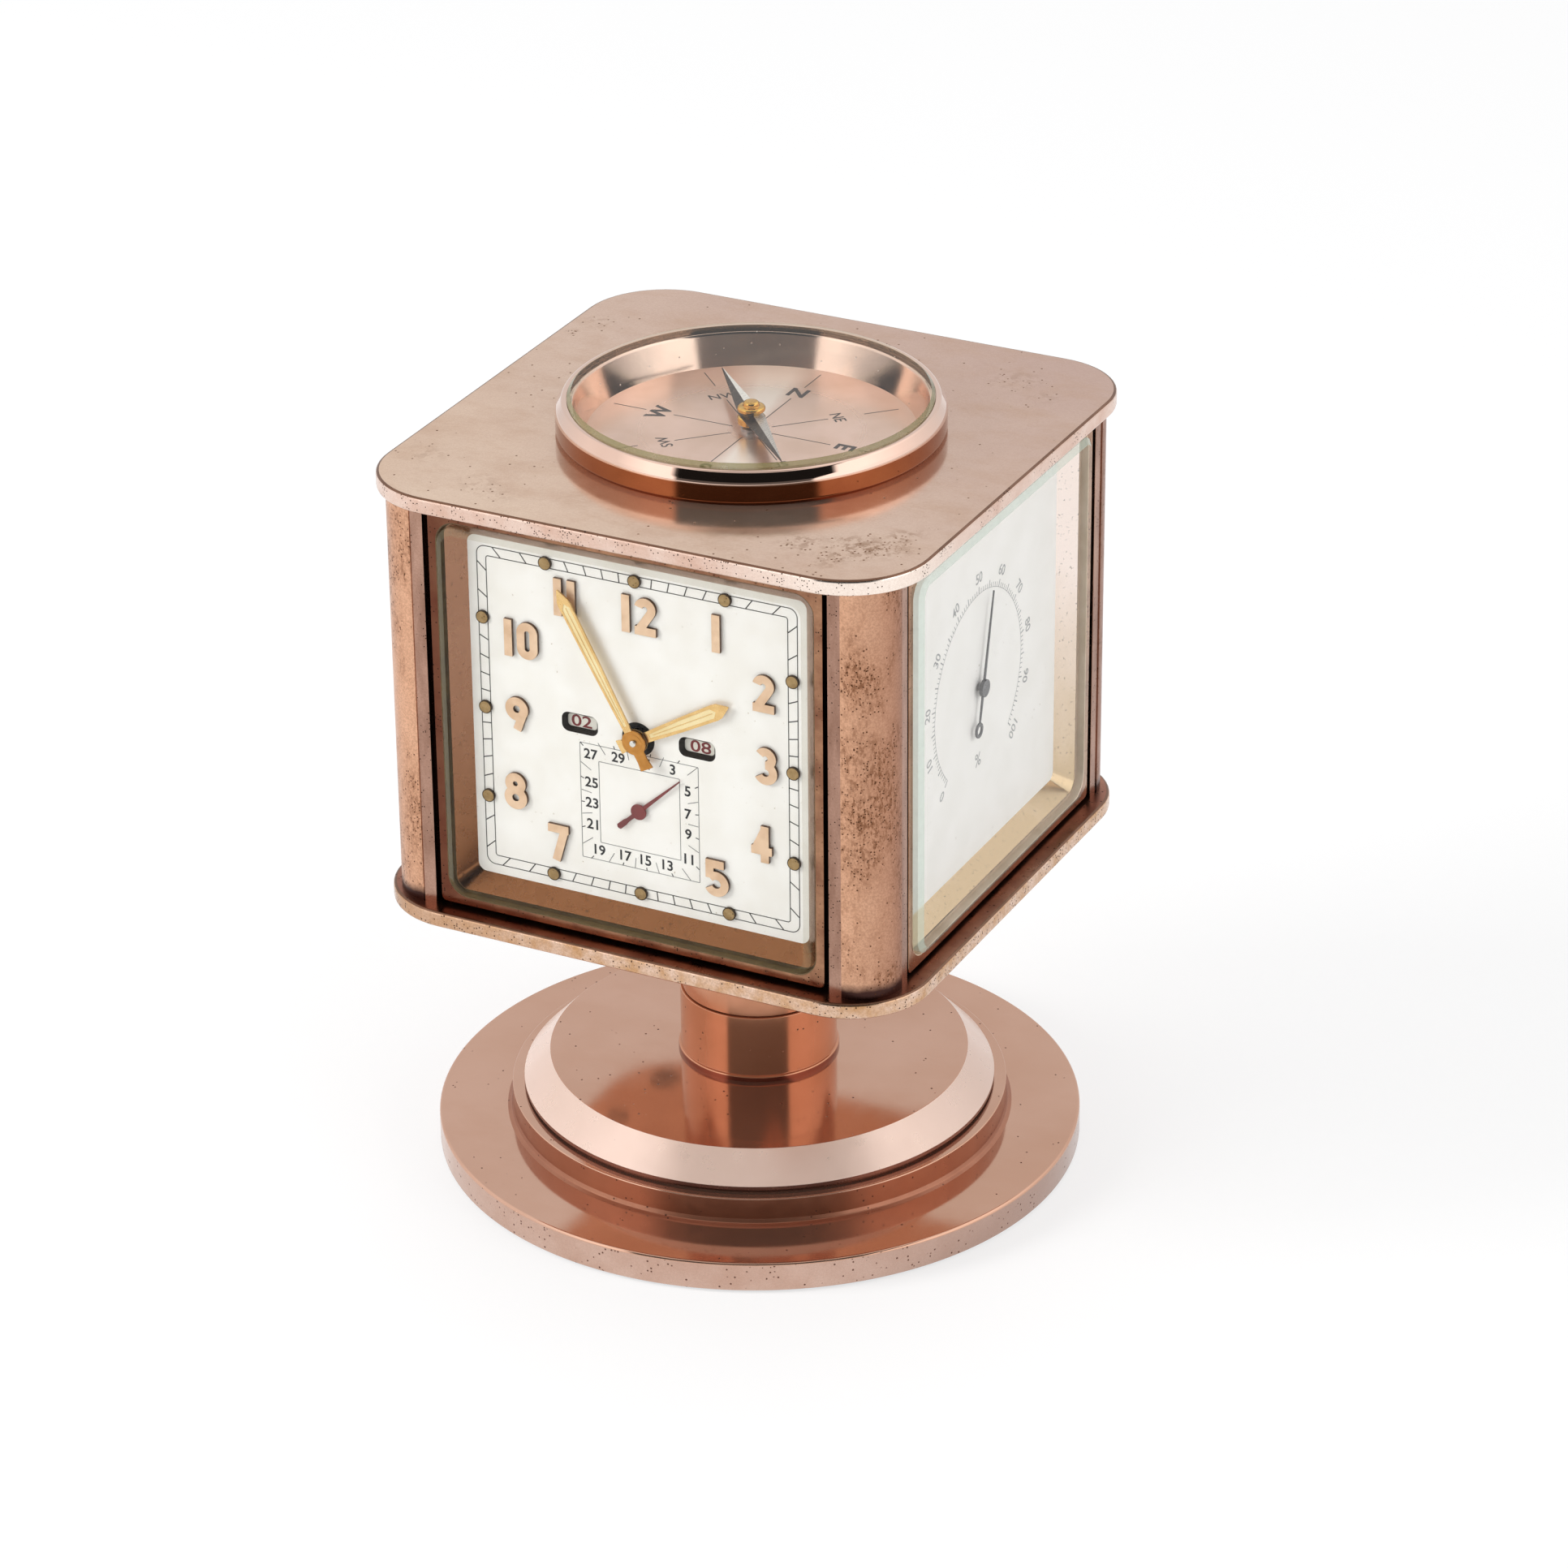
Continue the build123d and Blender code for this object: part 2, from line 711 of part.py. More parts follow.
def make_calendar():
    """The day and month discs behind the two windows, each on a stem through the front plate."""
    radius = calendar_pivot_across - calendar_inner_edge
    for name, side in (("day_disc", -1), ("month_disc", 1)):
        turning = disc(2 * radius, calendar_low, calendar_low + calendar_disc_thickness)
        turning += disc(calendar_stem_diameter, tray_back - calendar_stem_length, calendar_low + join)
        nodes[name] = stand("clock", at(side * calendar_pivot_across, window_centre_up, turning))


def make_movement():
    """Front and back plate, pillars and mainspring barrel."""
    arbor_hole = bore(arbor_diameter + 2 * running_fit, back_plate_back, tray_front)
    winding_hole = at(-barrel_offset, -barrel_offset,
                      bore(winding_arbor_diameter + 2 * running_fit, back_plate_back, tray_front))
    plate = make_tray() - arbor_hole - winding_hole
    plate -= at(0, -date_pivot_below, bore(date_arbor_diameter + 2 * running_fit, tray_back, tray_front))
    stem_hole = bore(calendar_stem_diameter + 2 * running_fit, tray_back, tray_front)
    for side in (-1, 1):
        plate -= at(side * calendar_pivot_across, window_centre_up, stem_hole)
    nodes["movement_front_plate"] = stand("clock", plate)

    back = square(movement_half, movement_corner_radius, back_plate_back, movement_back)
    nodes["movement_back_plate"] = stand("clock", back - arbor_hole - winding_hole)
    pillar = disc(pillar_diameter, movement_back, tray_back)
    ways = (-pillar_spread, pillar_spread)
    pillars = [at(x, y, pillar) for x in ways for y in ways]
    nodes["movement_pillars"] = stand("clock", Compound(children=pillars))

    low = movement_back + barrel_back_gap
    high = tray_back - barrel_front_gap
    drum = disc(2 * (barrel_reach - barrel_rim_width), low, high)
    drum += disc(2 * barrel_reach, low, low + barrel_rim_thickness)
    drum -= bore(winding_arbor_diameter + 2 * running_fit, low, high)
    nodes["mainspring_barrel"] = stand("clock", at(-barrel_offset, -barrel_offset, drum))


def make_winding_key():
    top = back_plate_back - key_gap
    boss_low = top - key_boss_length
    key = disc(winding_arbor_diameter, top - join, tray_front - join)
    key += disc(key_boss_diameter, boss_low, top)
    wing = extrude(Rectangle(key_wing_span, key_wing_thickness), key_wing_height + key_wing_seat)
    wing = fillet(wing.edges().filter_by(Axis.Y), key_wing_round)
    key += Pos(0, 0, boss_low - key_wing_height) * wing
    nodes["winding_key"] = stand("clock", at(-barrel_offset, -barrel_offset, key))


def make_minute_train():
    """The centre arbor with its setting knob, the minute hand and the cap over it."""
    knob_top = back_plate_back - knob_gap
    knob = disc(knob_diameter, knob_top - knob_thickness, knob_top)
    groove = bore(knob_ridge_diameter, knob_top - knob_thickness, knob_top)
    for ridge in range(knob_ridges):
        angle = 2 * pi * ridge / knob_ridges
        knob -= at(knob_diameter / 2 * cos(angle), knob_diameter / 2 * sin(angle), groove)
    arbor = disc(arbor_diameter, knob_top - join, arbor_top)
    nodes["centre_arbor"] = stand("clock", arbor + knob)

    minute = hand(minute_length, minute_tail, minute_width, minute_low)
    minute -= bore(arbor_diameter, minute_low, arbor_top)
    nodes["minute_hand"] = stand("clock", clockwise(minute_angle, minute))
    cap = disc(cap_diameter, arbor_top, cap_top)
    cap = fillet(cap.edges().group_by(Axis.Z)[-1], cap_round)
    nodes["hand_cap"] = stand("clock", cap)


def make_hour_hand():
    hour = hand(hour_length, hour_tail, hour_width, hour_low)
    hour += disc(pipe_diameter, wheel_low, hour_low + hand_thickness)
    hour += disc(hour_wheel_diameter, wheel_low, wheel_low + wheel_thickness)
    hour -= bore(arbor_diameter + 2 * running_fit, wheel_low, hour_low + hand_thickness)
    nodes["hour_hand"] = stand("clock", clockwise(hour_angle, hour))


def make_date_hand():
    side = date_width / 2
    tip = date_tip_width / 2
    blade = Polyline(
        (-side, 0), (-side, -date_tail), (0, -date_tail - side), (side, -date_tail), (side, 0),
        (tip, date_length), (-tip, date_length), close=True)
    high = date_low + date_hand_thickness
    date = Pos(0, 0, date_low) * extrude(make_face(blade), date_hand_thickness)
    date += disc(date_hub_diameter, date_low, high)
    date += disc(date_arbor_diameter, tray_back - date_arbor_tail, high)
    wheel_radius = date_pivot_below - hour_wheel_diameter / 2 - wheel_side_gap
    date += disc(2 * wheel_radius, wheel_low, wheel_low + wheel_thickness)
    nodes["date_hand"] = stand("clock", at(0, -date_pivot_below, clockwise(date_angle, date)))


def coil(turns, low):
    """A flat strip wound outward in half turns, each a half ring; the last one ends at its stud."""
    shape = None
    radius = coil_start_radius
    centre = 0.0
    for half_turn in range(2 * turns):
        upper = half_turn % 2 == 0
        ring = Circle(radius + coil_strip / 2) - Circle(radius - coil_strip / 2)
        size = 4 * (radius + coil_strip)
        keep = Pos(0, size / 2 if upper else -size / 2) * Rectangle(size, size)
        solid = Pos(centre, 0, low) * extrude(ring & keep, coil_depth)
        shape = solid if shape is None else shape + solid
        step = coil_pitch / 2
        centre += step if upper else -step
        radius += step
    return shape, centre + radius


def needle(low):
    """A thin pointer with a round hub and an open ring at its tail, pointing up."""
    side = needle_width / 2
    tip = needle_tip_width / 2
    ring_up = needle_ring_diameter / 2 - needle_tail
    outline = Polyline(
        (-side, 0), (-side, ring_up), (side, ring_up), (side, 0),
        (tip, needle_length), (-tip, needle_length), close=True)
    high = low + needle_thickness
    blade = Pos(0, 0, low) * extrude(make_face(outline), needle_thickness)
    blade += at(0, ring_up, disc(needle_ring_diameter, low, high))
    blade += disc(needle_hub_diameter, low, high + needle_hub_height)
    return blade - at(0, ring_up, bore(needle_ring_bore, low, high))


def make_instrument(side, arbor_back):
    """Frame, glass and dial of one weather instrument, with its plate and needle still lying down."""
    frame = make_frame()
    for hole in face_screw_holes():
        frame -= hole
    nodes[side + "_frame"] = stand(side, frame)
    nodes[side + "_glass"] = stand(side, make_glass())
    arbor_hole = bore(needle_arbor_diameter + 2 * running_fit, tray_back - boss_length, dial_front)
    nodes[side + "_dial"] = stand(side, make_dial() - arbor_hole)
    plate = make_tray() + disc(boss_diameter, tray_back - boss_length, tray_back + join)
    pointer_low = dial_front + needle_above_dial
    pointer = needle(pointer_low) + disc(needle_arbor_diameter, arbor_back, pointer_low + needle_thickness)
    return plate - arbor_hole, pointer


def make_coil_instrument(side, turns, angle):
    """A hygrometer or thermometer: the needle's arbor ends inside a flat wound strip."""
    coil_low = tray_back - boss_length - coil_gap - coil_depth
    plate, pointer = make_instrument(side, coil_low)
    wound, end_across = coil(turns, coil_low)
    stud = at(end_across, 0, disc(coil_stud_diameter, coil_low, tray_back))
    nodes[side + "_coil"] = stand(side, wound - stud)
    nodes[side + "_plate"] = stand(side, plate + stud)
    nodes[side + "_needle"] = stand(side, clockwise(angle, pointer))


def make_sector_lever(low):
    """A lever on a pin, its wide end rounded about the pin and just clear of the pinion."""
    reach = lever_pivot_across - lever_pinion_diameter / 2 - lever_gap
    half_span = 2 * reach * tan(radians(lever_sector_angle / 2))
    eye = lever_pin_diameter / 2 + lever_eye_width
    wedge = make_face(Polyline((0, 0), (-2 * reach, -half_span), (-2 * reach, half_span), close=True))
    sector = (Circle(reach) & wedge) + Circle(eye)
    sector += Pos(lever_heel_length / 2, 0) * Rectangle(lever_heel_length, lever_heel_width)
    sector -= Circle(lever_pin_diameter / 2 + running_fit)
    return Pos(lever_pivot_across, 0, low) * extrude(sector, lever_thickness)


def make_capsule(low, high):
    """A flat round capsule whose top is pressed in rings, with a stud in the middle."""
    capsule = disc(capsule_diameter, low, high)
    capsule = fillet(capsule.edges().filter_by(GeomType.CIRCLE), capsule_round)
    for ring in range(capsule_rings):
        outer = capsule_diameter / 2 - capsule_ring_inset - capsule_ring_pitch * ring
        groove = disc(2 * outer, high - capsule_ring_height, high + past)
        capsule -= groove - bore(2 * (outer - capsule_ring_width), high - capsule_ring_height, high + past)
    return capsule + disc(capsule_stud_diameter, high - join, high + capsule_stud_height)


def make_barometer():
    """The barometer: a ringed capsule on a bracket moves a toothed lever, which turns the needle."""
    side = "barometer"
    pinion_high = tray_back - boss_length - lever_gap
    pinion_low = pinion_high - lever_thickness
    plate, pointer = make_instrument(side, pinion_low)
    pointer += disc(lever_pinion_diameter, pinion_low, pinion_high)
    plate += at(lever_pivot_across, 0, disc(lever_pin_diameter, pinion_low - lever_pin_tail, tray_back))
    nodes["barometer_plate"] = stand(side, plate)
    nodes["barometer_needle"] = stand(side, clockwise(barometer_angle, pointer))
    nodes["sector_lever"] = stand(side, make_sector_lever(pinion_low))

    capsule_high = pinion_low - capsule_lever_gap
    capsule_low = capsule_high - capsule_thickness
    nodes["aneroid_capsule"] = stand(side, make_capsule(capsule_low, capsule_high))
    bracket_low = capsule_low - bracket_thickness
    inner = capsule_diameter / 2 + bracket_clearance
    bridge = extrude(Rectangle(2 * (inner + bracket_thickness), bracket_width), bracket_thickness)
    arm = extrude(Rectangle(bracket_thickness, bracket_width), tray_back - bracket_low)
    for way in (-1, 1):
        bridge += Pos(way * (inner + bracket_thickness / 2), 0, 0) * arm
    nodes["capsule_bracket"] = stand(side, Pos(0, 0, bracket_low) * bridge)


def make_bezel():
    """The rounded ring round the compass, turned about the main axis."""
    foot = bezel_bulge - bezel_foot_inset
    foot_up = body_top + bezel_foot_height
    top_up = body_top + bezel_height
    straight = Polyline(
        (bezel_crown, 0, top_up), (bezel_rebate, 0, top_up), (bezel_rebate, 0, compass_seat),
        (bezel_wall, 0, compass_seat), (bezel_wall, 0, body_top), (foot, 0, body_top), (foot, 0, foot_up))
    shoulder = Spline(
        [(foot, 0, foot_up), (bezel_bulge, 0, body_top + bezel_bulge_height), (bezel_crown, 0, top_up)],
        tangents=[(0.35, 0, 1), (-1, 0, 0.05)])
    nodes["compass_bezel"] = revolve(make_face([*straight.edges(), shoulder]), Axis.Z)


def make_compass():
    make_bezel()
    glass_top = compass_seat + compass_glass_thickness
    edge = compass_glass_radius
    nodes["compass_glass"] = turned([
        (0, compass_seat), (edge, compass_seat), (edge, glass_top - compass_glass_bevel),
        (edge - compass_glass_bevel, glass_top), (0, glass_top)])

    hole = pivot_diameter / 2
    nodes["compass_dial"] = turned([
        (hole, compass_floor), (compass_dial_radius, compass_floor),
        (compass_dial_radius, compass_dial_top), (hole, compass_dial_top)])
    cone_outer = bezel_wall - running_fit
    nodes["compass_cone"] = turned([
        (cone_foot, compass_dial_top), (compass_dial_radius, compass_dial_top),
        (compass_dial_radius, body_top), (cone_outer, body_top), (cone_outer, compass_seat),
        (cone_top, compass_seat), (cone_top - cone_lip, compass_seat - cone_lip)])

    pin_top = compass_cap_top - compass_cap_roof
    foot = pivot_foot_diameter / 2
    nodes["compass_pivot"] = turned([
        (0, compass_floor), (hole, compass_floor), (hole, compass_dial_top),
        (foot, compass_dial_top), (foot, compass_dial_top + pivot_foot_height),
        (hole, compass_dial_top + 2 * pivot_foot_height),
        (hole, pin_top - pivot_point_height), (0, pin_top)])

    side = compass_needle_width / 2
    waist = compass_needle_length * compass_needle_waist_share
    blade = make_face(Polyline(
        (0, compass_needle_length), (-side, waist), (-side, -waist), (0, -compass_needle_length),
        (side, -waist), (side, waist), close=True))
    pin_space = disc(pivot_diameter + 2 * running_fit, compass_needle_low - past, pin_top + running_fit)
    arrow = Pos(0, 0, compass_needle_low) * extrude(blade, compass_needle_thickness)
    nodes["compass_needle"] = Rot(0, 0, compass_needle_angle - 90) * (arrow - pin_space)
    cap = disc(compass_cap_diameter, compass_needle_top, compass_cap_top)
    nodes["compass_cap"] = fillet(cap.edges().group_by(Axis.Z)[-1], compass_cap_roof) - pin_space


make_base()
make_body()
make_clock_face()
make_calendar()
make_movement()
make_winding_key()
make_minute_train()
make_hour_hand()
make_date_hand()
make_coil_instrument("hygrometer", hygrometer_turns, hygrometer_angle)
make_coil_instrument("thermometer", thermometer_turns, thermometer_angle)
make_barometer()
make_compass()

os.makedirs("parts", exist_ok=True)
for name, shape in nodes.items():
    shape.label = name
    export_step(shape, f"parts/{name}.step")
print(len(nodes), "pieces; total height", round(compass_seat + compass_glass_thickness, 2))
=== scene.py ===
"""Looks of the desk weather station clock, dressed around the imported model.

Metres, in the model's own frame: the clock looks toward -Y, the hygrometer toward +X, the barometer
toward +Y and the thermometer toward -X. Sizes written here are in millimetres, times MM.
"""
from math import atan2, cos, pi, radians, sin, tan

import bmesh
import bpy
from mathutils import Matrix, Vector


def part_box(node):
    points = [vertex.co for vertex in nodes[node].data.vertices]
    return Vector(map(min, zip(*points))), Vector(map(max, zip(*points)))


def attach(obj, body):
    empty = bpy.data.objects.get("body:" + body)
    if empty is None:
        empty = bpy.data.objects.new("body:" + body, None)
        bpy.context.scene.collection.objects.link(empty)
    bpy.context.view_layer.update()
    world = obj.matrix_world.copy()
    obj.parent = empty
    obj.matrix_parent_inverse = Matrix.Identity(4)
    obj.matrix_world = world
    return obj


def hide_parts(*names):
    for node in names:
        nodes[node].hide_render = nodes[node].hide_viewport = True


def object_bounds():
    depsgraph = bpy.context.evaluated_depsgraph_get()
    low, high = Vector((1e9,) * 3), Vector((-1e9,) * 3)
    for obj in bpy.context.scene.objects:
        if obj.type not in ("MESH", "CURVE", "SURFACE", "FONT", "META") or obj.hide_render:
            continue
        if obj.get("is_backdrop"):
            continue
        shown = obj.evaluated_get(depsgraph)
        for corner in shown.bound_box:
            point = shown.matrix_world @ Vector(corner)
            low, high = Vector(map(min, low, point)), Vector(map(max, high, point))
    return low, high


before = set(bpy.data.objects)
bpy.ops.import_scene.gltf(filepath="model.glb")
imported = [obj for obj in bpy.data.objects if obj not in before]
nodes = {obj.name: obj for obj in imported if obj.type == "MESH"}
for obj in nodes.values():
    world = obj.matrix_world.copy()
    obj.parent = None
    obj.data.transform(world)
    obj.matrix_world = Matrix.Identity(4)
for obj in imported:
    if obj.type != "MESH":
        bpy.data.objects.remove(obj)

cad_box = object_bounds()
MM = 0.001

# Places read from the model
frame_low, frame_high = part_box("clock_frame")
glass_low, glass_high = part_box("clock_glass")
dial_low, dial_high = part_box("clock_dial")
flange_half = frame_high.x
frame_front = -frame_low.y
tray_back = -frame_high.y
face_up = (frame_low.z + frame_high.z) / 2
glass_half = glass_high.x
glass_back = -glass_high.y
glass_front = -glass_low.y
dial_half = dial_high.x
dial_front = -dial_low.y
dial_back = -dial_high.y
body_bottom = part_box("bottom_plate")[0].z
post_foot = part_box("bottom_plate")[1].z
post_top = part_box("top_plate")[0].z
body_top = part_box("top_plate")[1].z
plate_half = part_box("top_plate")[1].x

# Sizes that the boxes don't show, most of them as in the model
plate_corner = 12.2 * MM
plate_round = 0.45 * MM
post_face = plate_half - 2.5 * MM
post_corner = 6.3 * MM
rib_step = 0.15 * MM
post_width = 8.3 * MM
post_ledge = 1.6 * MM
post_leg = 1.8 * MM
flange_depth = 1.8 * MM
frame_half = flange_half - 0.35 * MM
frame_corner = 0.8 * MM
opening_half = glass_half + 0.35 * MM
opening_corner = 3.2 * MM
glass_corner = 2.85 * MM
glass_bevel = 1.0 * MM
glass_bevel_depth = 0.5 * MM
seat_half = glass_half - 0.3 * MM
seat_corner = 1.8 * MM
sight_half = glass_half - 2.45 * MM
sight_corner = 1.3 * MM
edge_soft = 0.12 * MM

RING_POINTS = 192
CORNER_POINTS = 14
# Turned pieces that are closed in the middle start this close to the axis.
AXIS = 0.0001 * MM

side_turns = {"clock": 0, "hygrometer": 90, "barometer": 180, "thermometer": 270}


def on_side(side):
    """Matrix from a face's own directions, right, up and out, to its place on the body."""
    upright = Matrix(((1, 0, 0, 0), (0, 0, -1, 0), (0, 1, 0, face_up), (0, 0, 0, 1)))
    return Matrix.Rotation(radians(side_turns[side]), 4, "Z") @ upright


def clockwise(angle):
    return Matrix.Rotation(-radians(angle), 4, "Z")


def tone(red, green, blue):
    """A colour given as it looks on a screen, 0 to 255, in the linear values that a shader takes."""
    shares = (red / 255, green / 255, blue / 255)
    return (*[c / 12.92 if c < 0.04045 else ((c + 0.055) / 1.055) ** 2.4 for c in shares], 1)


def toward(angle, reach=1.0):
    """A point this far from the middle of a face, its angle clockwise from straight up."""
    return reach * sin(radians(angle)), reach * cos(radians(angle))


def to_square(angle):
    """How far a ray at this angle runs to a square that reaches 1 to each side."""
    return 1 / max(abs(sin(radians(angle))), abs(cos(radians(angle))))


def levels(box):
    """Bottom, top and reach of a turned part."""
    low, high = box
    return low.z, high.z, high.x


def depths(box):
    """How far out the back and the front of a part of the clock are, and its reach."""
    low, high = box
    return -high.y, -low.y, high.x


def put(name, data):
    """Put a new object with this data into the scene."""
    made = bpy.data.objects.new(name, data)
    bpy.context.scene.collection.objects.link(made)
    return made


class Shading:
    """A tree of shader nodes. Its calls add nodes, fed with values or with what other nodes give."""

    def __init__(self, tree):
        self.tree = tree

    def feed(self, socket, value):
        if isinstance(value, bpy.types.NodeSocket):
            self.tree.links.new(value, socket)
        else:
            socket.default_value = value

    def node(self, kind, inputs=(), **settings):
        made = self.tree.nodes.new(kind)
        for key, value in settings.items():
            setattr(made, key, value)
        for key, value in dict(inputs).items():
            self.feed(made.inputs[key], value)
        return made

    def maths(self, operation, *values):
        return self.node("ShaderNodeMath", dict(enumerate(values)), operation=operation).outputs[0]

    def measure(self, operation, *vectors):
        """One number from vectors, such as a length or a distance."""
        made = self.node("ShaderNodeVectorMath", dict(enumerate(vectors)), operation=operation)
        return made.outputs["Value"]

    def parts(self, vector):
        return self.node("ShaderNodeSeparateXYZ", {0: vector}).outputs

    def share(self, value, start, end, first=0.0, last=1.0, **settings):
        """Goes from first to last while the value goes from start to end, and no further."""
        return self.node("ShaderNodeMapRange", {
            "Value": value, "From Min": start, "From Max": end, "To Min": first, "To Max": last},
            **settings).outputs[0]

    def ramp(self, factor, *stops):
        """A grey ramp of (place, value) stops."""
        made = self.node("ShaderNodeValToRGB", {"Fac": factor})
        points = made.color_ramp.elements
        while len(points) < len(stops):
            points.new(0.5)
        for point, (where, value) in zip(points, stops):
            point.position = where
            point.color = (value, value, value, 1)
        return made.outputs["Color"]

    def mix(self, factor, first, second, blend="MIX"):
        return self.node("ShaderNodeMix", {0: factor, 6: first, 7: second}, data_type="RGBA",
                         blend_type=blend).outputs[2]


class Finish(Shading):
    """A material whose look comes from a few chained nodes in the piece's own coordinates."""

    def __init__(self, name, **values):
        self.material = bpy.data.materials.new(name)
        self.material.use_nodes = True
        super().__init__(self.material.node_tree)
        self.shader = self.tree.nodes["Principled BSDF"]
        self.place = self.node("ShaderNodeTexCoord").outputs["Object"]
        self.set(**values)

    def set(self, **values):
        for key, value in values.items():
            self.feed(self.shader.inputs[key.replace("_", " ")], value)

    def stretched(self, x, y, z):
        """The piece's coordinates scaled, so that a texture runs along one direction."""
        return self.node("ShaderNodeMapping", {"Vector": self.place, "Scale": (x, y, z)}).outputs[0]

    def noise(self, size, detail=3, roughness=0.55, place=None):
        """Cloudy noise whose features are about size across, in metres."""
        return self.node("ShaderNodeTexNoise", {
            "Vector": place or self.place, "Scale": 1 / size, "Detail": detail,
            "Roughness": roughness}).outputs["Fac"]

    def clouds(self, size, detail=3):
        """Noise drawn apart to soft clouds from 0 to 1."""
        return self.ramp(self.noise(size, detail), (0.35, 0.0), (0.65, 1.0))

    def bump(self, height, distance, strength=1.0):
        self.set(Normal=self.node("ShaderNodeBump", {
            "Height": height, "Distance": distance, "Strength": strength}).outputs[0])


def rose_metal(name, main, worn, rough, cloud=9, pits=0.0, pit_size=0.3, pit_tone=(62, 40, 30), patch=6,
               coat=0.15, stretch=(1, 1, 1), stains=(), bare=1.0, tone_and_shade_sweep=None, grain=0.0, blotch=0.0,
               blotch_tone=(112, 72, 46), smear=None, foot=None):
    """Lacquered rose gilt brass: cloudy tone, soft shine and, where it is worn, small pits.

    Sizes are in millimetres. Cloud, patch and blotch are how wide the clouds, the worn patches and the
    brown blotches in those patches are; pits and grain say how much of them there is. A stain is
    (x, y, reach, depth), a worn spot on the top plate. A tone and shade sweep is (x, y, start, end,
    tone): a way across the piece, where along it the metal's colour starts and ends to change, and the
    tone there; on the top plate and the posts it is painted shade. A smear is (size, depth, tone) of soft
    dull patches. A foot is (height, tone), painted shade that grows up from the bottom plate.
    """
    made = Finish(name, Metallic=bare, Coat_Weight=coat, Coat_Roughness=0.08)
    clouds = made.noise(cloud * MM, 4, 0.6, made.stretched(*stretch))
    colour = made.mix(made.ramp(clouds, (0.34, 0.0), (0.66, 1.0)), tone(*main), tone(*worn))
    # A sweep of colour across the piece; on the top plate and the posts it is painted shade.
    if tone_and_shade_sweep:
        x, y, start, end, dull = tone_and_shade_sweep
        across = made.measure("DOT_PRODUCT", made.place, (x, y, 0))
        span = end - start
        cloudy = made.maths("MULTIPLY_ADD", made.noise(12 * MM, 3), 0.4 * span * MM, across)
        far = made.share(cloudy, (start - 0.2 * span) * MM, (end + 0.2 * span) * MM)
        colour = made.mix(far, colour, tone(*dull))
    if smear:
        size, depth, dull = smear
        soft = made.noise(size * MM, 5, 0.65, made.stretched(1, 1.6, 1))
        soft = made.ramp(soft, (0.46, 0.0), (0.7, depth))
        colour = made.mix(soft, colour, tone(*dull))
    if grain:
        fine = made.ramp(made.noise(0.32 * MM, 4, 0.8), (0.42, grain), (0.58, 0.0))
        colour = made.mix(fine, colour, tone(*blotch_tone))
    shine = made.ramp(made.noise(3.0 * MM, 3, 0.6), (0.3, rough * 0.85), (0.7, rough * 1.2))
    wear = made.ramp(made.noise(patch * MM, 3, 0.6, made.stretched(*stretch)), (0.4, 0.0), (0.66, pits))
    for x, y, reach, depth in stains:
        away = made.measure("DISTANCE", made.place, (x * MM, y * MM, body_top))
        ragged = made.maths("MULTIPLY_ADD", made.noise(3 * MM, 4, 0.7), reach * 1.6 * MM, away)
        near = made.share(ragged, reach * 1.9 * MM, reach * 1.1 * MM)
        wear = made.maths("ADD", wear, made.maths("MULTIPLY", near, depth))
    if blotch:
        ragged = made.noise(blotch * MM, 5, 0.7, made.stretched(*stretch))
        ragged = made.ramp(ragged, (0.48, 0.0), (0.58, 1.0))
        opened = made.maths("MINIMUM", made.maths("MULTIPLY", wear, 1.5), 0.9)
        colour = made.mix(made.maths("MULTIPLY", ragged, opened), colour, tone(*blotch_tone))
    # Painted shade: darker toward the foot, where the piece meets the bottom plate.
    if foot:
        height, dull = foot
        z = made.parts(made.place)[2]
        ragged = made.maths("MULTIPLY_ADD", made.noise(5 * MM, 3), -0.8 * height * MM, z)
        near = made.share(ragged, post_foot + 0.6 * height * MM, post_foot)
        colour = made.mix(near, colour, tone(*dull))
    if pits or stains:
        shove = made.node("ShaderNodeTexNoise", {"Vector": made.place, "Scale": 3 / (pit_size * MM)})
        bent = made.node("ShaderNodeVectorMath", {
            0: shove.outputs["Color"], 1: (pit_size * 0.4 * MM,) * 3, 2: made.place},
            operation="MULTIPLY_ADD").outputs[0]
        cells = made.node("ShaderNodeTexVoronoi", {"Vector": bent, "Scale": 1 / (pit_size * 1.7 * MM)})
        chance = made.node("ShaderNodeSeparateColor", {0: cells.outputs["Color"]}).outputs[0]
        there = made.maths("LESS_THAN", chance, wear)
        round_pit = made.ramp(cells.outputs["Distance"], (0.2, 1.0), (0.38, 0.0))
        where = made.maths("MULTIPLY", round_pit, there)
        colour = made.mix(where, colour, tone(*pit_tone))
        shine = made.mix(where, shine, (0.6, 0.6, 0.6, 1))
        made.bump(made.maths("SUBTRACT", 1.0, where), 0.02 * MM, 0.6)
    made.set(Base_Color=colour, Roughness=shine)
    return made.material


def wall_finish(name, high, low, rough):
    """Metal of a recess, its tone changing from the top of the body to the bottom."""
    made = Finish(name, Metallic=1.0)
    z = made.parts(made.place)[2]
    cloudy = made.maths("MULTIPLY_ADD", made.noise(7 * MM, 4, 0.6, made.stretched(1, 1, 0.4)), 20 * MM, z)
    level = made.share(cloudy, face_up - 16 * MM, face_up + 18 * MM)
    specks = made.ramp(made.noise(0.6 * MM, 3, 0.6), (0.62, 0.0), (0.72, 0.55))
    colour = made.mix(specks, made.mix(level, tone(*low), tone(*high)), tone(54, 38, 28))
    shine = made.ramp(made.noise(2 * MM), (0.3, rough * 0.8), (0.7, rough * 1.2))
    made.set(Base_Color=colour, Roughness=shine)
    return made.material


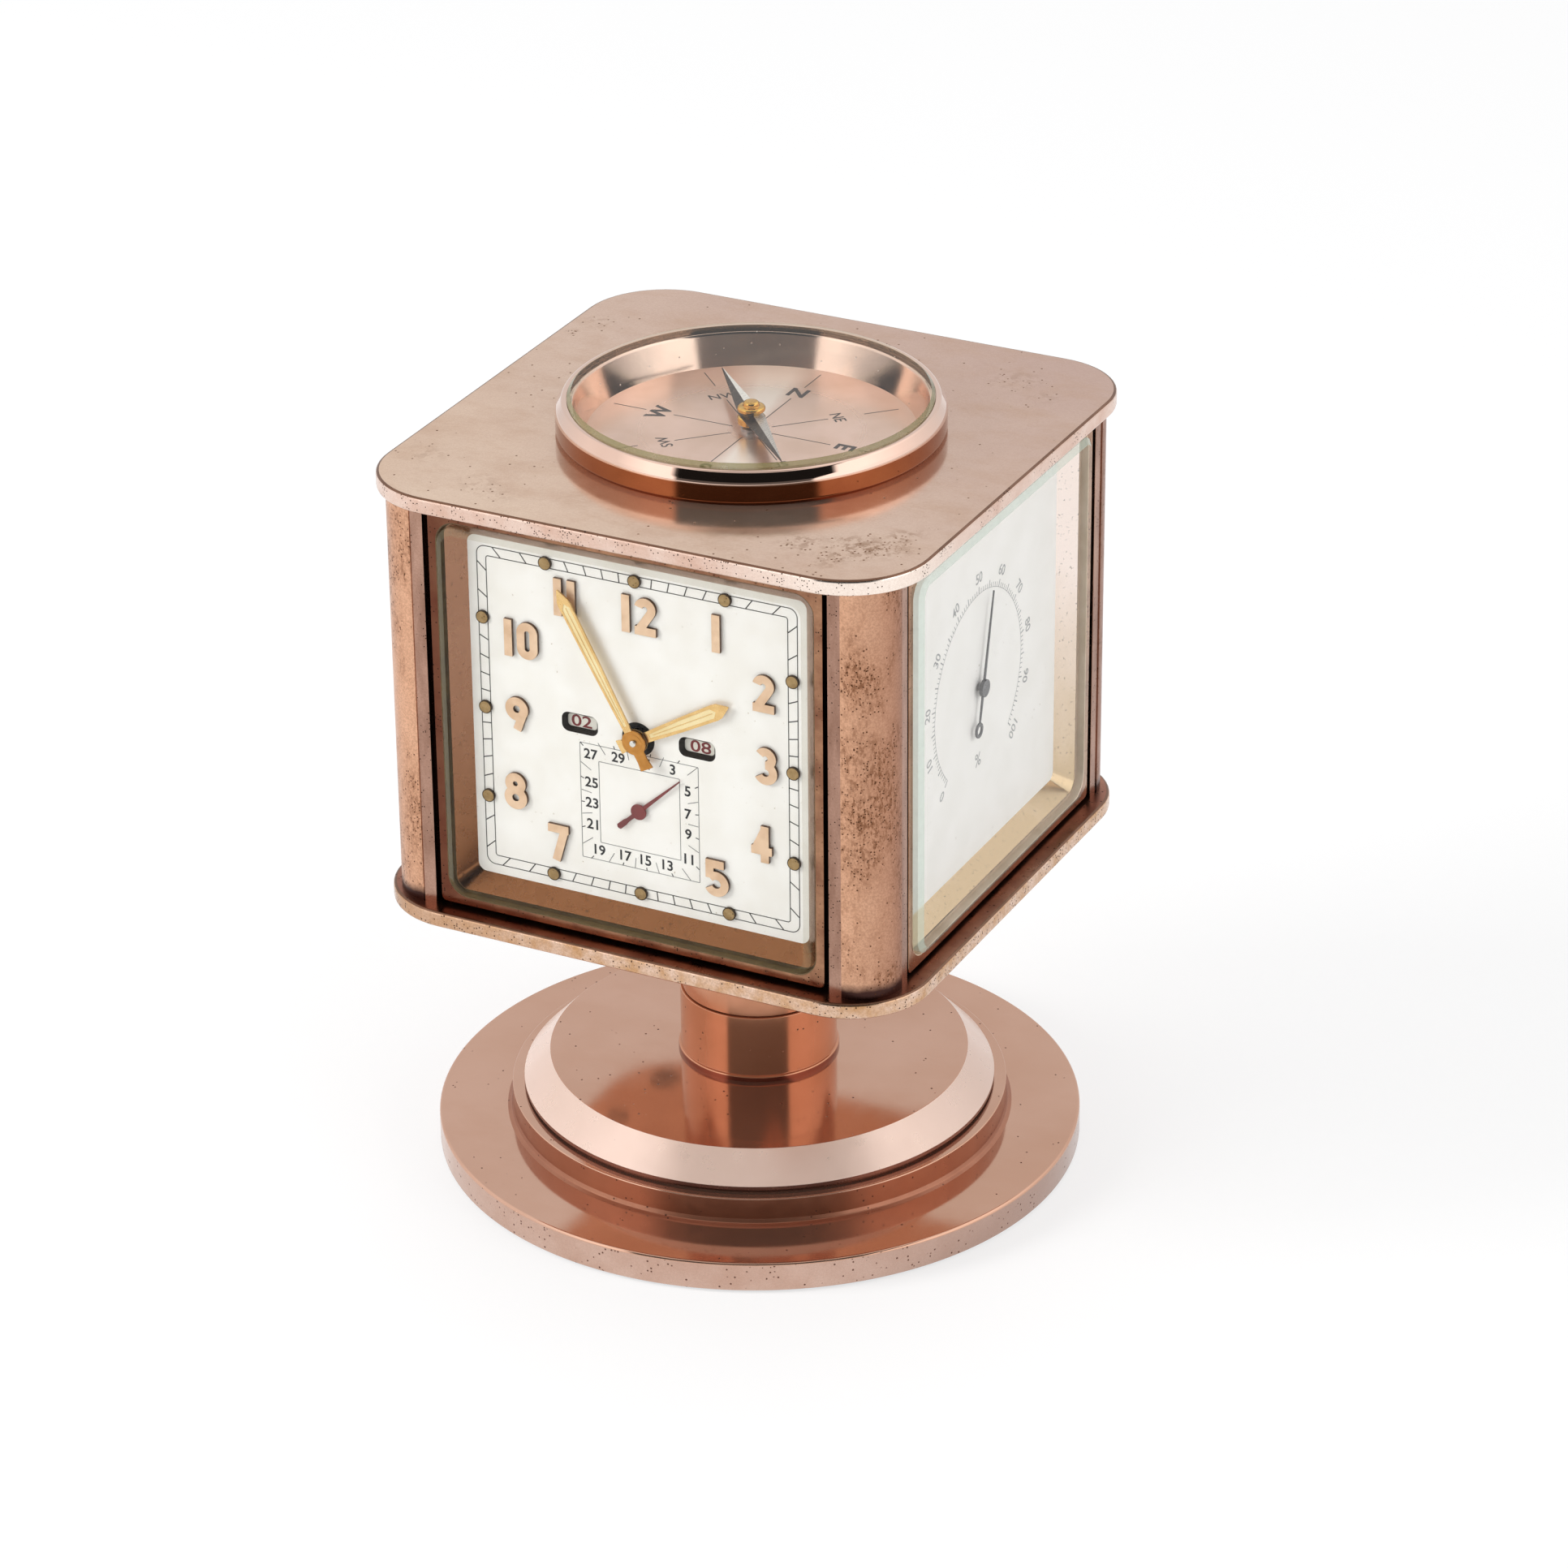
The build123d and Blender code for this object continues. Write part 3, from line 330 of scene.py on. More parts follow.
def glass_material(name, tint, veil=0.0, veil_tone=(220, 228, 214), inner_veil=0.0):
    """Clear glass that shines more the flatter it is looked at, with a pale veil on its cut edges: their
    tint, and painted light piped through the glass.

    The inner veil is that of the cut edges that are seen through the glass.
    """
    made = Finish(name, Base_Color=tone(*veil_tone), Roughness=0.12)
    smudges = made.ramp(made.noise(9 * MM, 4, 0.6), (0.45, 0.0), (0.85, 0.12))
    clear = made.node("ShaderNodeBsdfTransparent", {"Color": tint})
    shine = made.node("ShaderNodeBsdfGlossy", {"Color": (1, 1, 1, 1), "Roughness": smudges})
    inside = made.node("ShaderNodeNewGeometry").outputs["Backfacing"]
    outside = made.maths("SUBTRACT", 1.0, inside)
    mirror = made.maths("MULTIPLY", made.node("ShaderNodeFresnel", {"IOR": 1.22}).outputs[0], outside)
    pane = made.node("ShaderNodeMixShader", {0: mirror, 1: clear.outputs[0], 2: shine.outputs[0]})
    # The veil is the cut edges' own tint and painted light, standing in for light piped through the glass.
    if veil:
        cut = made.ramp(made.noise(2.5 * MM, 2), (0.3, 0.92), (0.7, 1.08))
        depth = made.maths("MULTIPLY_ADD", inside, inner_veil - veil, veil)
        pane = made.node("ShaderNodeMixShader", {
            0: made.maths("MULTIPLY", cut, depth), 1: pane.outputs[0], 2: made.shader.outputs[0]})
    lamp_ray = made.node("ShaderNodeLightPath").outputs["Is Shadow Ray"]
    joined = made.node("ShaderNodeMixShader", {0: lamp_ray, 1: pane.outputs[0], 2: clear.outputs[0]})
    made.tree.links.new(joined.outputs[0], made.tree.nodes["Material Output"].inputs["Surface"])
    return made.material


def painted(name, main, second, rough=0.5, speck=None, metallic=0.0, coat=0.0):
    """Paint, print or felt in two close tones, with a few specks where their tone is given."""
    made = Finish(name, Metallic=metallic, Coat_Weight=coat)
    colour = made.mix(made.clouds(6 * MM), tone(*main), tone(*second))
    if speck:
        spots = made.ramp(made.noise(0.5 * MM, 2), (0.69, 0.0), (0.74, 1.0))
        patches = made.ramp(made.noise(9 * MM, 2), (0.45, 0.0), (0.6, 1.0))
        colour = made.mix(made.maths("MULTIPLY", spots, patches), colour, tone(*speck))
    shine = made.ramp(made.noise(1.5 * MM), (0.3, rough * 0.9), (0.7, rough * 1.1))
    made.set(Base_Color=colour, Roughness=shine)
    made.bump(made.noise(0.12 * MM, 2), 0.003 * MM)
    return made.material


def brushed(name, main, second, rough, stretch, metallic=1.0):
    """Metal with fine lines across the direction in which the stretch is large."""
    made = Finish(name, Metallic=metallic)
    lines = made.noise(1.2 * MM, 3, 0.6, made.stretched(*stretch))
    made.set(Base_Color=made.mix(made.ramp(lines, (0.3, 0.0), (0.7, 1.0)), tone(*main), tone(*second)),
             Roughness=made.ramp(lines, (0.3, rough * 0.8), (0.7, rough * 1.2)))
    made.bump(lines, 0.01 * MM)
    return made.material


# Its sweep, darker toward the back right, is painted shade.
plate_top = rose_metal(
    "plate_top", (238, 210, 186), (228, 196, 170), 0.13, 30, 0.03, 0.34, (122, 84, 58), 12, stains=(
        (24, -32, 4, 0.36), (31, -31, 5, 0.5), (35.5, -29, 4, 0.5), (36, -24, 3, 0.36), (30, -36, 3, 0.3),
        (-25, -34, 4, 0.16), (-37, -28, 4, 0.16), (27, 31, 5, 0.2), (33, 27, 3, 0.16), (-38, 25, 3, 0.2),
        (-39.5, 20, 1.2, 0.7), (-20, -36, 3, 0.14)),
    tone_and_shade_sweep=(0.5, 0.86, -20, 60, (202, 168, 154)), bare=0.83, grain=0.1, blotch=1.5,
    blotch_tone=(148, 106, 72), smear=(9, 0.4, (196, 154, 122)))
edge_line = rose_metal("edge_line", (132, 96, 76), (112, 80, 62), 0.3, 5, 0.1, 0.3, (70, 44, 34), 5)
plate_edge = rose_metal("plate_edge", (232, 206, 192), (218, 182, 164), 0.22, 6, 0.8, 0.2, (70, 50, 40), 5,
                        tone_and_shade_sweep=(0.7, -0.7, 44, 54, (255, 240, 228)), grain=0.14,
                        blotch_tone=(176, 136, 112))
bottom_edge = rose_metal("bottom_edge", (234, 204, 184), (206, 160, 116), 0.24, 3, 0.6, 0.24, (84, 60, 44),
                         4, tone_and_shade_sweep=(-1, 0.2, 8, 42, (190, 144, 106)), grain=0.3,
                         blotch_tone=(150, 108, 76))
# Its sweep, darker toward the back right, and its darker foot are painted shade.
post_metal = rose_metal("post_metal", (230, 180, 148), (206, 154, 122), 0.34, 6, 0.75, 0.24, (92, 58, 38),
                        6, 0.05, (1, 1, 0.5), tone_and_shade_sweep=(1, 1, -1, 9, (158, 112, 92)), grain=0.34, blotch=0.5,
                        blotch_tone=(132, 88, 62), foot=(2.4, (66, 42, 38)))
rib_metal = rose_metal("rib_metal", (186, 148, 130), (144, 108, 92), 0.24, 4, 0.3, 0.2, (62, 40, 30), 4,
                       0.05, (1, 1, 0.3), grain=0.2)
frame_metal = rose_metal("frame_metal", (184, 142, 112), (148, 108, 82), 0.2, 6, 0.3, 0.22, (74, 50, 36),
                         5, 0.05, grain=0.2)
frame_clock = rose_metal("frame_clock", (176, 132, 102), (130, 88, 68), 0.2, 5, 0.3, 0.22, (60, 40, 30), 5,
                         0.05, tone_and_shade_sweep=(-1, 0, 14, 36, (92, 46, 34)), grain=0.2)
# Painted shade: the frames' flanks, in the gap beside the posts, are a dark brown.
flank_shade = rose_metal("flank_shade", (74, 52, 40), (54, 38, 32), 0.4, 5)
seat_side = rose_metal("seat_side", (222, 198, 176), (204, 176, 146), 0.4, 5, bare=0.25)
seat_clock = rose_metal("seat_clock", (112, 92, 60), (88, 68, 44), 0.36, 4, bare=0.5)
# Painted shade: the clock's recess is the same metal as the other faces' recesses, made darker.
wall_clock_shaded = wall_finish("wall_clock_shaded", (160, 118, 94), (138, 92, 60), 0.26)
wall_side = wall_finish("wall_side", (248, 232, 224), (206, 180, 144), 0.22)
base_metal = rose_metal("base_metal", (212, 170, 148), (204, 160, 136), 0.09, 30, 0.03, 0.3, (96, 62, 50),
                        10, 0.08, bare=0.9, smear=(14, 0.2, (198, 148, 120)))
step_metal = rose_metal("step_metal", (174, 118, 92), (160, 104, 80), 0.32, 16, 0.1, 0.3, (84, 54, 42), 8,
                        bare=0.85)
rim_metal = rose_metal("rim_metal", (140, 96, 82), (122, 80, 68), 0.26, 9, bare=0.7)
flange_edge = rose_metal("flange_edge", (214, 182, 166), (202, 166, 148), 0.22, 8, 0.2, 0.3,
                         (110, 74, 60), 7, tone_and_shade_sweep=(0.89, 0.45, 16, 44, (178, 150, 138)), grain=0.12,
                         blotch_tone=(160, 120, 100))
neck_metal = rose_metal("neck_metal", (210, 148, 116), (198, 138, 104), 0.13, 12, 0.03, 0.3, (90, 56, 40),
                        9, 0.08, bare=0.72)
neck_foot = rose_metal("neck_foot", (150, 84, 66), (128, 66, 52), 0.2, 6, bare=0.8)
wall_under = rose_metal("under_frames", (172, 118, 96), (144, 92, 74), 0.3, 5, 0.3, 0.3, (70, 44, 34), 5,
                        0.05, grain=0.2)
under_metal = rose_metal("under_plate", (206, 148, 114), (190, 132, 98), 0.24, 12, coat=0.05)
bezel_metal = rose_metal("bezel_metal", (228, 194, 176), (222, 186, 168), 0.04, 18, coat=0.8)
# Painted reflection: the bezel's foot is a darker orange, standing in for the plate that it mirrors.
bezel_foot_shade = rose_metal("bezel_foot_shade", (158, 98, 64), (148, 88, 58), 0.08, 14, coat=0.1)
cone_metal = rose_metal("cone_metal", (234, 206, 188), (226, 196, 178), 0.12, 12, 0.04, 0.25,
                        (240, 226, 214), 6, coat=0)
chamfer_metal = rose_metal("chamfer_metal", (238, 210, 196), (232, 204, 188), 0.3, 26, bare=0.4)
dot_face = rose_metal("dot_face", (176, 148, 104), (150, 122, 80), 0.35, 1, 0.4, 0.2, (96, 74, 46), 2)
dot_rim = rose_metal("dot_rim", (74, 58, 40), (58, 44, 32), 0.4, 2)
gilt_metal = rose_metal("gilt_metal", (240, 204, 142), (224, 182, 116), 0.26, 3)
hub_gilt = rose_metal("hub_gilt", (204, 144, 70), (186, 126, 56), 0.34, 0.8)
brass = brushed("brass_turned", (196, 160, 92), (176, 138, 76), 0.28, (1, 1, 12))
steel = brushed("steel_grained", (178, 178, 180), (150, 150, 154), 0.3, (1, 1, 20))
pin_steel = brushed("pin_steel", (236, 234, 228), (214, 212, 206), 0.25, (1, 1, 6))
needle_steel = brushed("needle_steel", (120, 120, 122), (92, 92, 94), 0.3, (1, 1, 6))
pointer_pale = brushed("pointer_pale", (240, 236, 228), (228, 224, 216), 0.3, (6, 1, 1), 0.2)
pointer_grey = brushed("pointer_grey", (196, 190, 182), (176, 168, 162), 0.28, (6, 1, 1), 0.4)
# Painted shade: the dark finish of the needle's left facets.
pointer_shade = brushed("pointer_shade", (92, 80, 72), (62, 54, 50), 0.32, (6, 1, 1))
cap_brass = brushed("cap_brass", (224, 180, 96), (196, 150, 70), 0.12, (1, 1, 8))
felt = painted("felt_green", (34, 44, 38), (24, 32, 28), 0.95)
silver_paint = painted("silver_dial_face", (252, 250, 245), (246, 243, 236), 0.34, (176, 160, 128), 0.2)
white_paint = painted("white_dial_face", (253, 251, 248), (248, 246, 242), 0.5, (196, 190, 178))
disc_paint = painted("calendar_disc_face", (232, 228, 218), (222, 218, 206), 0.5)
track_ink = painted("track_ink", (66, 64, 60), (50, 48, 46), 0.5)
date_ink = painted("date_ink", (40, 40, 42), (28, 28, 30), 0.5)
scale_ink = painted("scale_ink", (176, 176, 176), (156, 156, 158), 0.5)
fine_ink = painted("fine_ink", (128, 128, 126), (112, 112, 112), 0.5)
compass_ink = painted("compass_ink", (58, 48, 46), (44, 36, 34), 0.5)
red_paint = painted("red_enamel", (122, 30, 28), (98, 22, 22), 0.3, coat=0.4)
red_ink = painted("red_ink", (128, 44, 44), (108, 34, 36), 0.5)
lume = painted("hand_inlay", (250, 232, 182), (240, 216, 158), 0.5)
# Painted shade: black for the dial's hole round the hands.
hole_shade_black = painted("dial_bush", (26, 22, 20), (16, 14, 12), 0.6)
# Painted shade: the dark brown of the windows' bevels.
window_shade = painted("window_edge_shade", (44, 38, 32), (30, 26, 22), 0.4, metallic=0.5)
clear_glass = glass_material("clear_glass", (0.99, 0.99, 0.985, 1))
# The veils of the pane edges are the edges' tint and painted light piped through the glass.
pane_edge = glass_material("pane_edge", (0.985, 0.99, 0.98, 1), 0.5, (206, 226, 212), 0.04)
pane_edge_clock = glass_material("pane_edge_clock", (0.98, 0.98, 0.96, 1), 0.2, (150, 140, 104), 0.04)
round_edge = glass_material("round_edge", (0.94, 0.94, 0.86, 1), 0.7, (132, 124, 76), 0.03)


def numeral_material():
    """Cream rose faces with sides in painted shade, told apart by the way each face looks."""
    made = Finish("numeral_metal", Metallic=0.6)
    facing = made.node("ShaderNodeTexCoord").outputs["Normal"]
    is_face = made.share(made.parts(facing)[1], -0.5, -0.8)
    faces = made.mix(made.clouds(2.5 * MM), tone(238, 206, 174), tone(220, 184, 150))
    # Painted shade: every side wall is a dark brown, the faces cream.
    made.set(Base_Color=made.mix(is_face, tone(96, 66, 44), faces),
             Roughness=made.ramp(made.noise(0.8 * MM), (0.3, 0.3), (0.7, 0.42)))
    return made.material


def compass_dial_material():
    """Rose metal turned in fine circles, its shine drawn out along the radius, with a painted highlight in
    two pale wedges.
    """
    made = Finish("compass_dial_face", Metallic=0.85, Anisotropic=0.6, Anisotropic_Rotation=0.25,
                  Coat_Weight=0.1)
    made.set(Tangent=made.node("ShaderNodeTangent", direction_type="RADIAL", axis="Z").outputs[0])
    x, y, _ = made.parts(made.place)
    turned = made.maths("ADD", made.maths("ARCTAN2", x, y), radians(17))
    turn = made.maths("ABSOLUTE", made.maths("SINE", turned))
    outward = made.node("ShaderNodeCombineXYZ", {0: made.measure("LENGTH", made.place)}).outputs[0]
    rings = made.noise(0.3 * MM, 2, 0.6, outward)
    ragged = made.maths("MULTIPLY_ADD", made.noise(5 * MM, 4), 0.1, turn)
    # Painted highlight: two pale wedges fixed on the dial, turned a little from north.
    painted_glint = made.ramp(ragged, (0.16, 1.0), (0.36, 0.0))
    between = made.mix(made.clouds(7 * MM, 4), tone(234, 202, 186), tone(222, 188, 168))
    made.set(Base_Color=made.mix(painted_glint, between, tone(255, 240, 228)),
             Roughness=made.ramp(rings, (0.3, 0.26), (0.7, 0.3)))
    return made.material


numeral_metal = numeral_material()
compass_face = compass_dial_material()


def soften(points, steps=4, closed=True):
    """Round an outline's corners. A point is (a, b, rounding, ...) and what follows is kept."""
    out = []
    last = len(points) - 1
    for index, (a, b, soft, *rest) in enumerate(points):
        corner = Vector((a, b))
        if soft <= 0 or (not closed and index in (0, last)):
            out.append((a, b, *rest))
            continue
        back = (Vector(points[index - 1][:2]) - corner).normalized()
        ahead = (Vector(points[(index + 1) % len(points)][:2]) - corner).normalized()
        half_angle = back.angle(ahead) / 2
        centre = corner + (back + ahead).normalized() * (soft / sin(half_angle))
        start = corner + back * (soft / tan(half_angle)) - centre
        end = corner + ahead * (soft / tan(half_angle)) - centre
        first = atan2(start.y, start.x)
        sweep = (atan2(end.y, end.x) - first + pi) % (2 * pi) - pi
        for step in range(steps + 1):
            angle = first + sweep * step / steps
            out.append((centre.x + soft * cos(angle), centre.y + soft * sin(angle), *rest))
    return out


def round_ring(radius, level, count=RING_POINTS):
    turns = [2 * pi * i / count for i in range(count)]
    return [(radius * cos(turn), radius * sin(turn), level) for turn in turns]


def square_ring(half, level, corner, along=1):
    """A rounded square of points, with extra ones along each straight side."""
    reach = half - corner
    ring = []
    for quarter in range(4):
        turn = Matrix.Rotation(pi / 2 * quarter, 2)
        bend = [pi / 2 * step / CORNER_POINTS for step in range(CORNER_POINTS + 1)]
        places = [Vector((reach + corner * cos(angle), reach + corner * sin(angle))) for angle in bend]
        places += [Vector((reach - 2 * reach * step / along, half)) for step in range(1, along)]
        ring += [(*(turn @ place), level) for place in places]
    return ring


def circled(ring, radius, level):
    """A circle with as many points as a ring, each in the same direction."""
    return [(*(Vector((x, y)).normalized() * radius), level) for x, y, _ in ring]


def skin(rings, closed=True, bands=None):
    """Join a row of rings of equally many points. A closed row meets itself, an open one is capped."""
    count = len(rings[0])
    points = [point for ring in rings for point in ring]
    faces = []
    marks = []
    for row in range(len(rings) if closed else len(rings) - 1):
        upper = (row + 1) % len(rings)
        for i in range(count):
            j = (i + 1) % count
            faces.append((row * count + i, row * count + j, upper * count + j, upper * count + i))
            marks.append(bands[row] if bands else 0)
    if not closed:
        faces += [tuple(reversed(range(count))), tuple(range(len(points) - count, len(points)))]
        marks += [marks[0], marks[-1]]
    mesh = bpy.data.meshes.new("skin")
    mesh.from_pydata(points, [], faces)
    mesh.polygons.foreach_set("material_index", marks)
    return mesh


def fix(mesh, smooth):
    """Turn every face outward and shade it smooth, but for edges sharper than this many degrees."""
    work = bmesh.new()
    work.from_mesh(mesh)
    bmesh.ops.remove_doubles(work, verts=work.verts, dist=1e-7)
    bmesh.ops.recalc_face_normals(work, faces=work.faces)
    work.to_mesh(mesh)
    work.free()
    mesh.shade_smooth()
    mesh.set_sharp_from_angle(angle=radians(smooth))


def piece(name, mesh, finishes, body, slot, *replaced, place=None, smooth=32):
    """Put a mesh into the scene as a piece of the object."""
    if place is not None:
        mesh.transform(place)
    fix(mesh, smooth)
    mesh.name = name
    made = put(name, mesh)
    for finish in finishes if isinstance(finishes, list) else [finishes]:
        mesh.materials.append(finish)
    made.modifiers.new("even_shading", "WEIGHTED_NORMAL").keep_sharp = True
    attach(made, body)
    if replaced:
        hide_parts(*replaced)
    return made


def lathe(profile, steps=4):
    """Turn a closed half section about the main axis.

    A point is (radius, level, rounding), and in pieces of more than one finish it ends with its band.
    """
    soft = soften(profile, steps)
    rings = [round_ring(radius, level) for radius, level, *_ in soft]
    return skin(rings, bands=[mark for _, _, mark in soft] if len(profile[0]) > 3 else None)


def prism(work, outline, low, high):
    """Add a closed flat solid with this outline to a bmesh."""
    floor = [work.verts.new((x, y, low)) for x, y in outline]
    roof = [work.verts.new((x, y, high)) for x, y in outline]
    work.faces.new(reversed(floor))
    work.faces.new(roof)
    for i in range(len(outline)):
        j = (i + 1) % len(outline)
        work.faces.new((floor[i], floor[j], roof[j], roof[i]))


def band(work, outer, inner, low, high):
    """Add a closed flat ring between two outlines of equally many points to a bmesh."""
    rows = [[work.verts.new((x, y, z)) for x, y in line]
            for line, z in ((outer, low), (outer, high), (inner, high), (inner, low))]
    for row in range(4):
        here, there = rows[row], rows[(row + 1) % 4]
        for i in range(len(outer)):
            j = (i + 1) % len(outer)
            work.faces.new((here[i], here[j], there[j], there[i]))


def as_mesh(work):
    mesh = bpy.data.meshes.new("mesh")
    work.to_mesh(mesh)
    work.free()
    return mesh


def filled(curve):
    """The mesh that a curve makes. The curve itself is thrown away."""
    holder = put("curve", curve)
    mesh = bpy.data.meshes.new_from_object(holder)
    bpy.data.objects.remove(holder)
    bpy.data.curves.remove(curve)
    return mesh


def circle(radius, count=48, across=0.0, up=0.0):
    return [(across + x, up + y) for x, y, _ in round_ring(radius, 0.0, count)]


class Print:
    """Flat printing on a dial, gathered as thin closed strokes in the face's own directions."""

    def __init__(self, level):
        self.work = bmesh.new()
        self.low = level - 0.004 * MM
        self.high = level + 0.02 * MM

    def line(self, start, end, width):
        a, b = Vector(start), Vector(end)
        side = (b - a).normalized().orthogonal() * (width / 2)
        prism(self.work, (a - side, b - side, b + side, a + side), self.low, self.high)

    def ray(self, angle, near, far, width, centre=(0, 0)):
        """A tick on a ray from a centre, its angle clockwise from straight up."""
        way = Vector(toward(angle))
        self.line(Vector(centre) + way * near, Vector(centre) + way * far, width)

    def frame(self, half, corner, width, centre=(0, 0), high_half=None):
        """A rounded square line, or a taller one where its half height is given too."""
        tall = high_half or half
        spread = width / 2
        outer = rounded(half + spread, tall + spread, corner + spread, *centre)
        inner = rounded(half - spread, tall - spread, max(corner - spread, spread / 2), *centre)
        band(self.work, outer, inner, self.low, self.high)

    def arc(self, radius, width, start, end):
        """Part of a circle about the middle, its angles clockwise from straight up."""
        steps = 96
        angles = [start + (end - start) * i / steps for i in range(steps + 1)]
        outer = [toward(angle, radius + width / 2) for angle in angles]
        inner = [toward(angle, radius - width / 2) for angle in angles]
        for i in range(steps):
            prism(self.work, [outer[i], outer[i + 1], inner[i + 1], inner[i]], self.low, self.high)

    def text(self, words, across, up, height, turn=0.0, bold=0.0, squeeze=1.0):
        """Letters this high, centred on a point and turned clockwise. A squeeze above 1 widens them."""
        curve = bpy.data.curves.new("letters", "FONT")
        curve.body = words
        curve.size = 1.0
        curve.offset = bold
        curve.resolution_u = 4
        flat = filled(curve)
        xs = [v.co.x for v in flat.vertices]
        ys = [v.co.y for v in flat.vertices]
        scale = height / (max(ys) - min(ys))
        to_middle = Matrix.Translation((-(max(xs) + min(xs)) / 2, -(max(ys) + min(ys)) / 2, 0))
        sized = Matrix.Diagonal((scale * squeeze, scale, 1, 1))
        flat.transform(Matrix.Translation((across, up, self.high)) @ clockwise(turn) @ sized @ to_middle)
        letters = bmesh.new()
        letters.from_mesh(flat)
        bmesh.ops.remove_doubles(letters, verts=letters.verts, dist=1e-6)
        walls = bmesh.ops.extrude_face_region(letters, geom=letters.faces[:])
        moved = [v for v in walls["geom"] if isinstance(v, bmesh.types.BMVert)]
        bmesh.ops.translate(letters, verts=moved, vec=(0, 0, self.low - self.high))
        letters.to_mesh(flat)
        letters.free()
        self.work.from_mesh(flat)
        bpy.data.meshes.remove(flat)

    def place(self, name, finish, body, slot, side=None):
        place = on_side(side) if side else None
        piece(name, as_mesh(self.work), finish, body, slot, place=place, smooth=20)


def make_base():
    """Round base: felt pad, flange with its step, chamfered disc and the neck."""
    bore = 4.0 * MM
    _, pad_top, pad = levels(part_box("base_pad"))
    pad_hole = 9.0 * MM
    piece("base_pad_felt", lathe([
        (pad_hole, 0, 0.2 * MM), (pad, 0, 0.3 * MM), (pad, pad_top, 0.1 * MM),
        (pad_hole, pad_top, 0.1 * MM)]),
        felt, "base", "felt", "base_pad")

    low, top, edge = levels(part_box("base_flange"))
    wall = 36.8 * MM
    ledge = 5.0 * MM
    cove = 0.8 * MM
    soft = 0.4 * MM
    sink = 8.0 * MM
    sink_top = pad_top + 2.6 * MM
    # The four bands are the flange's top, its edge, its hidden underside and the step's wall.
    piece("base_flange_turned", lathe([
        (bore, sink_top, 0, 2), (sink, sink_top, 0, 2), (sink, pad_top, 0, 2), (pad, pad_top, 0, 2),
        (pad, low, 0.1 * MM, 2), (edge, low, soft, 1), (edge, ledge, soft, 0),
        (wall + cove, ledge, 0.05 * MM, 3), (wall + 0.3 * cove, ledge + 0.3 * cove, 0.3 * MM, 3),
        (wall, ledge + cove, 0.2 * MM, 3), (wall, top, 0.15 * MM, 0), (bore, top, 0, 2)],
        5), [base_metal, flange_edge, steel, step_metal], "base", "base_metal", "base_flange")

    low, top, rim = levels(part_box("base_disc"))
    face = rim - 3.95 * MM
    groove = rim - 0.5 * MM
    groove_top = low + 0.35 * MM
    # The three bands are the disc's top, its short edge with the groove under it, and the chamfer.
    piece("base_disc_turned", lathe([
        (bore, low, 0, 1), (groove, low, 0, 1), (groove, groove_top, 0, 1), (rim, groove_top, 0.12 * MM, 1),
        (rim, low + 1.0 * MM, 0.12 * MM, 2), (face, top, 0.08 * MM, 0), (bore, top, 0, 0)]),
        [base_metal, rim_metal, chamfer_metal], "base", "base_metal", "base_disc")

    low, top, foot = levels(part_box("neck_tube"))
    side = foot - 0.35 * MM
    ring = low + 0.9 * MM
    piece("neck_turned", lathe([
        (bore, low, 0, 1), (foot, low, 0, 1), (foot, ring, 0.25 * MM, 0), (side, ring, 0.06 * MM, 0),
        (side, top, 0.15 * MM, 0), (bore, top, 0, 0)]),
        [neck_metal, neck_foot], "base", "base_metal", "neck_tube")

    low, top, collar = levels(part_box("neck_collar"))
    bore += 0.05 * MM
    piece("neck_collar_turned", lathe([
        (bore, low, 0), (collar, low, 0.15 * MM), (collar, top, 0), (bore, top, 0)]),
        neck_metal, "head", "base_metal", "neck_collar")


def plate_mesh(low, high, hole, floor=None):
    """A rounded square plate with softened edges and a round hole, which ends at a floor if that is given.

    Its bands are the top, the edge, the underside and the line where the top turns into the edge.
    """
    profile = soften([
        (plate_half - 6 * MM, low, 0, 2), (plate_half, low, plate_round, 1),
        (plate_half, high, plate_round, 1), (plate_half - 3 * plate_round, high, 0, 0)], 5, closed=False)
    rings = [square_ring(h, z, plate_corner - (plate_half - h), along=8) for h, z, _ in profile]
    bands = [mark for _, _, mark in profile]
    bands[-5:-1] = [3, 3, 3, 0]
    inner = circled(rings[-1], hole, high)
    rings += [inner, [(x, y, low if floor is None else floor) for x, y, _ in inner]]
    if floor is None:
        return skin(rings, bands=bands + [0, 2])
    return skin(rings, closed=False, bands=bands + [0, 0])


def make_plates():
    """Top plate with the recess of the compass, and bottom plate with the bore for the spindle."""
    bore = 4.05 * MM
    floor, _, reach = levels(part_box("compass_dial"))
    piece("top_plate_body", plate_mesh(post_top, body_top, reach + 0.05 * MM, floor),
          [plate_top, plate_edge, plate_edge, edge_line], "head", "plate", "top_plate")
    piece("bottom_plate_body", plate_mesh(body_bottom, post_foot, bore),
          [wall_under, bottom_edge, under_metal, edge_line], "head", "plate", "bottom_plate")


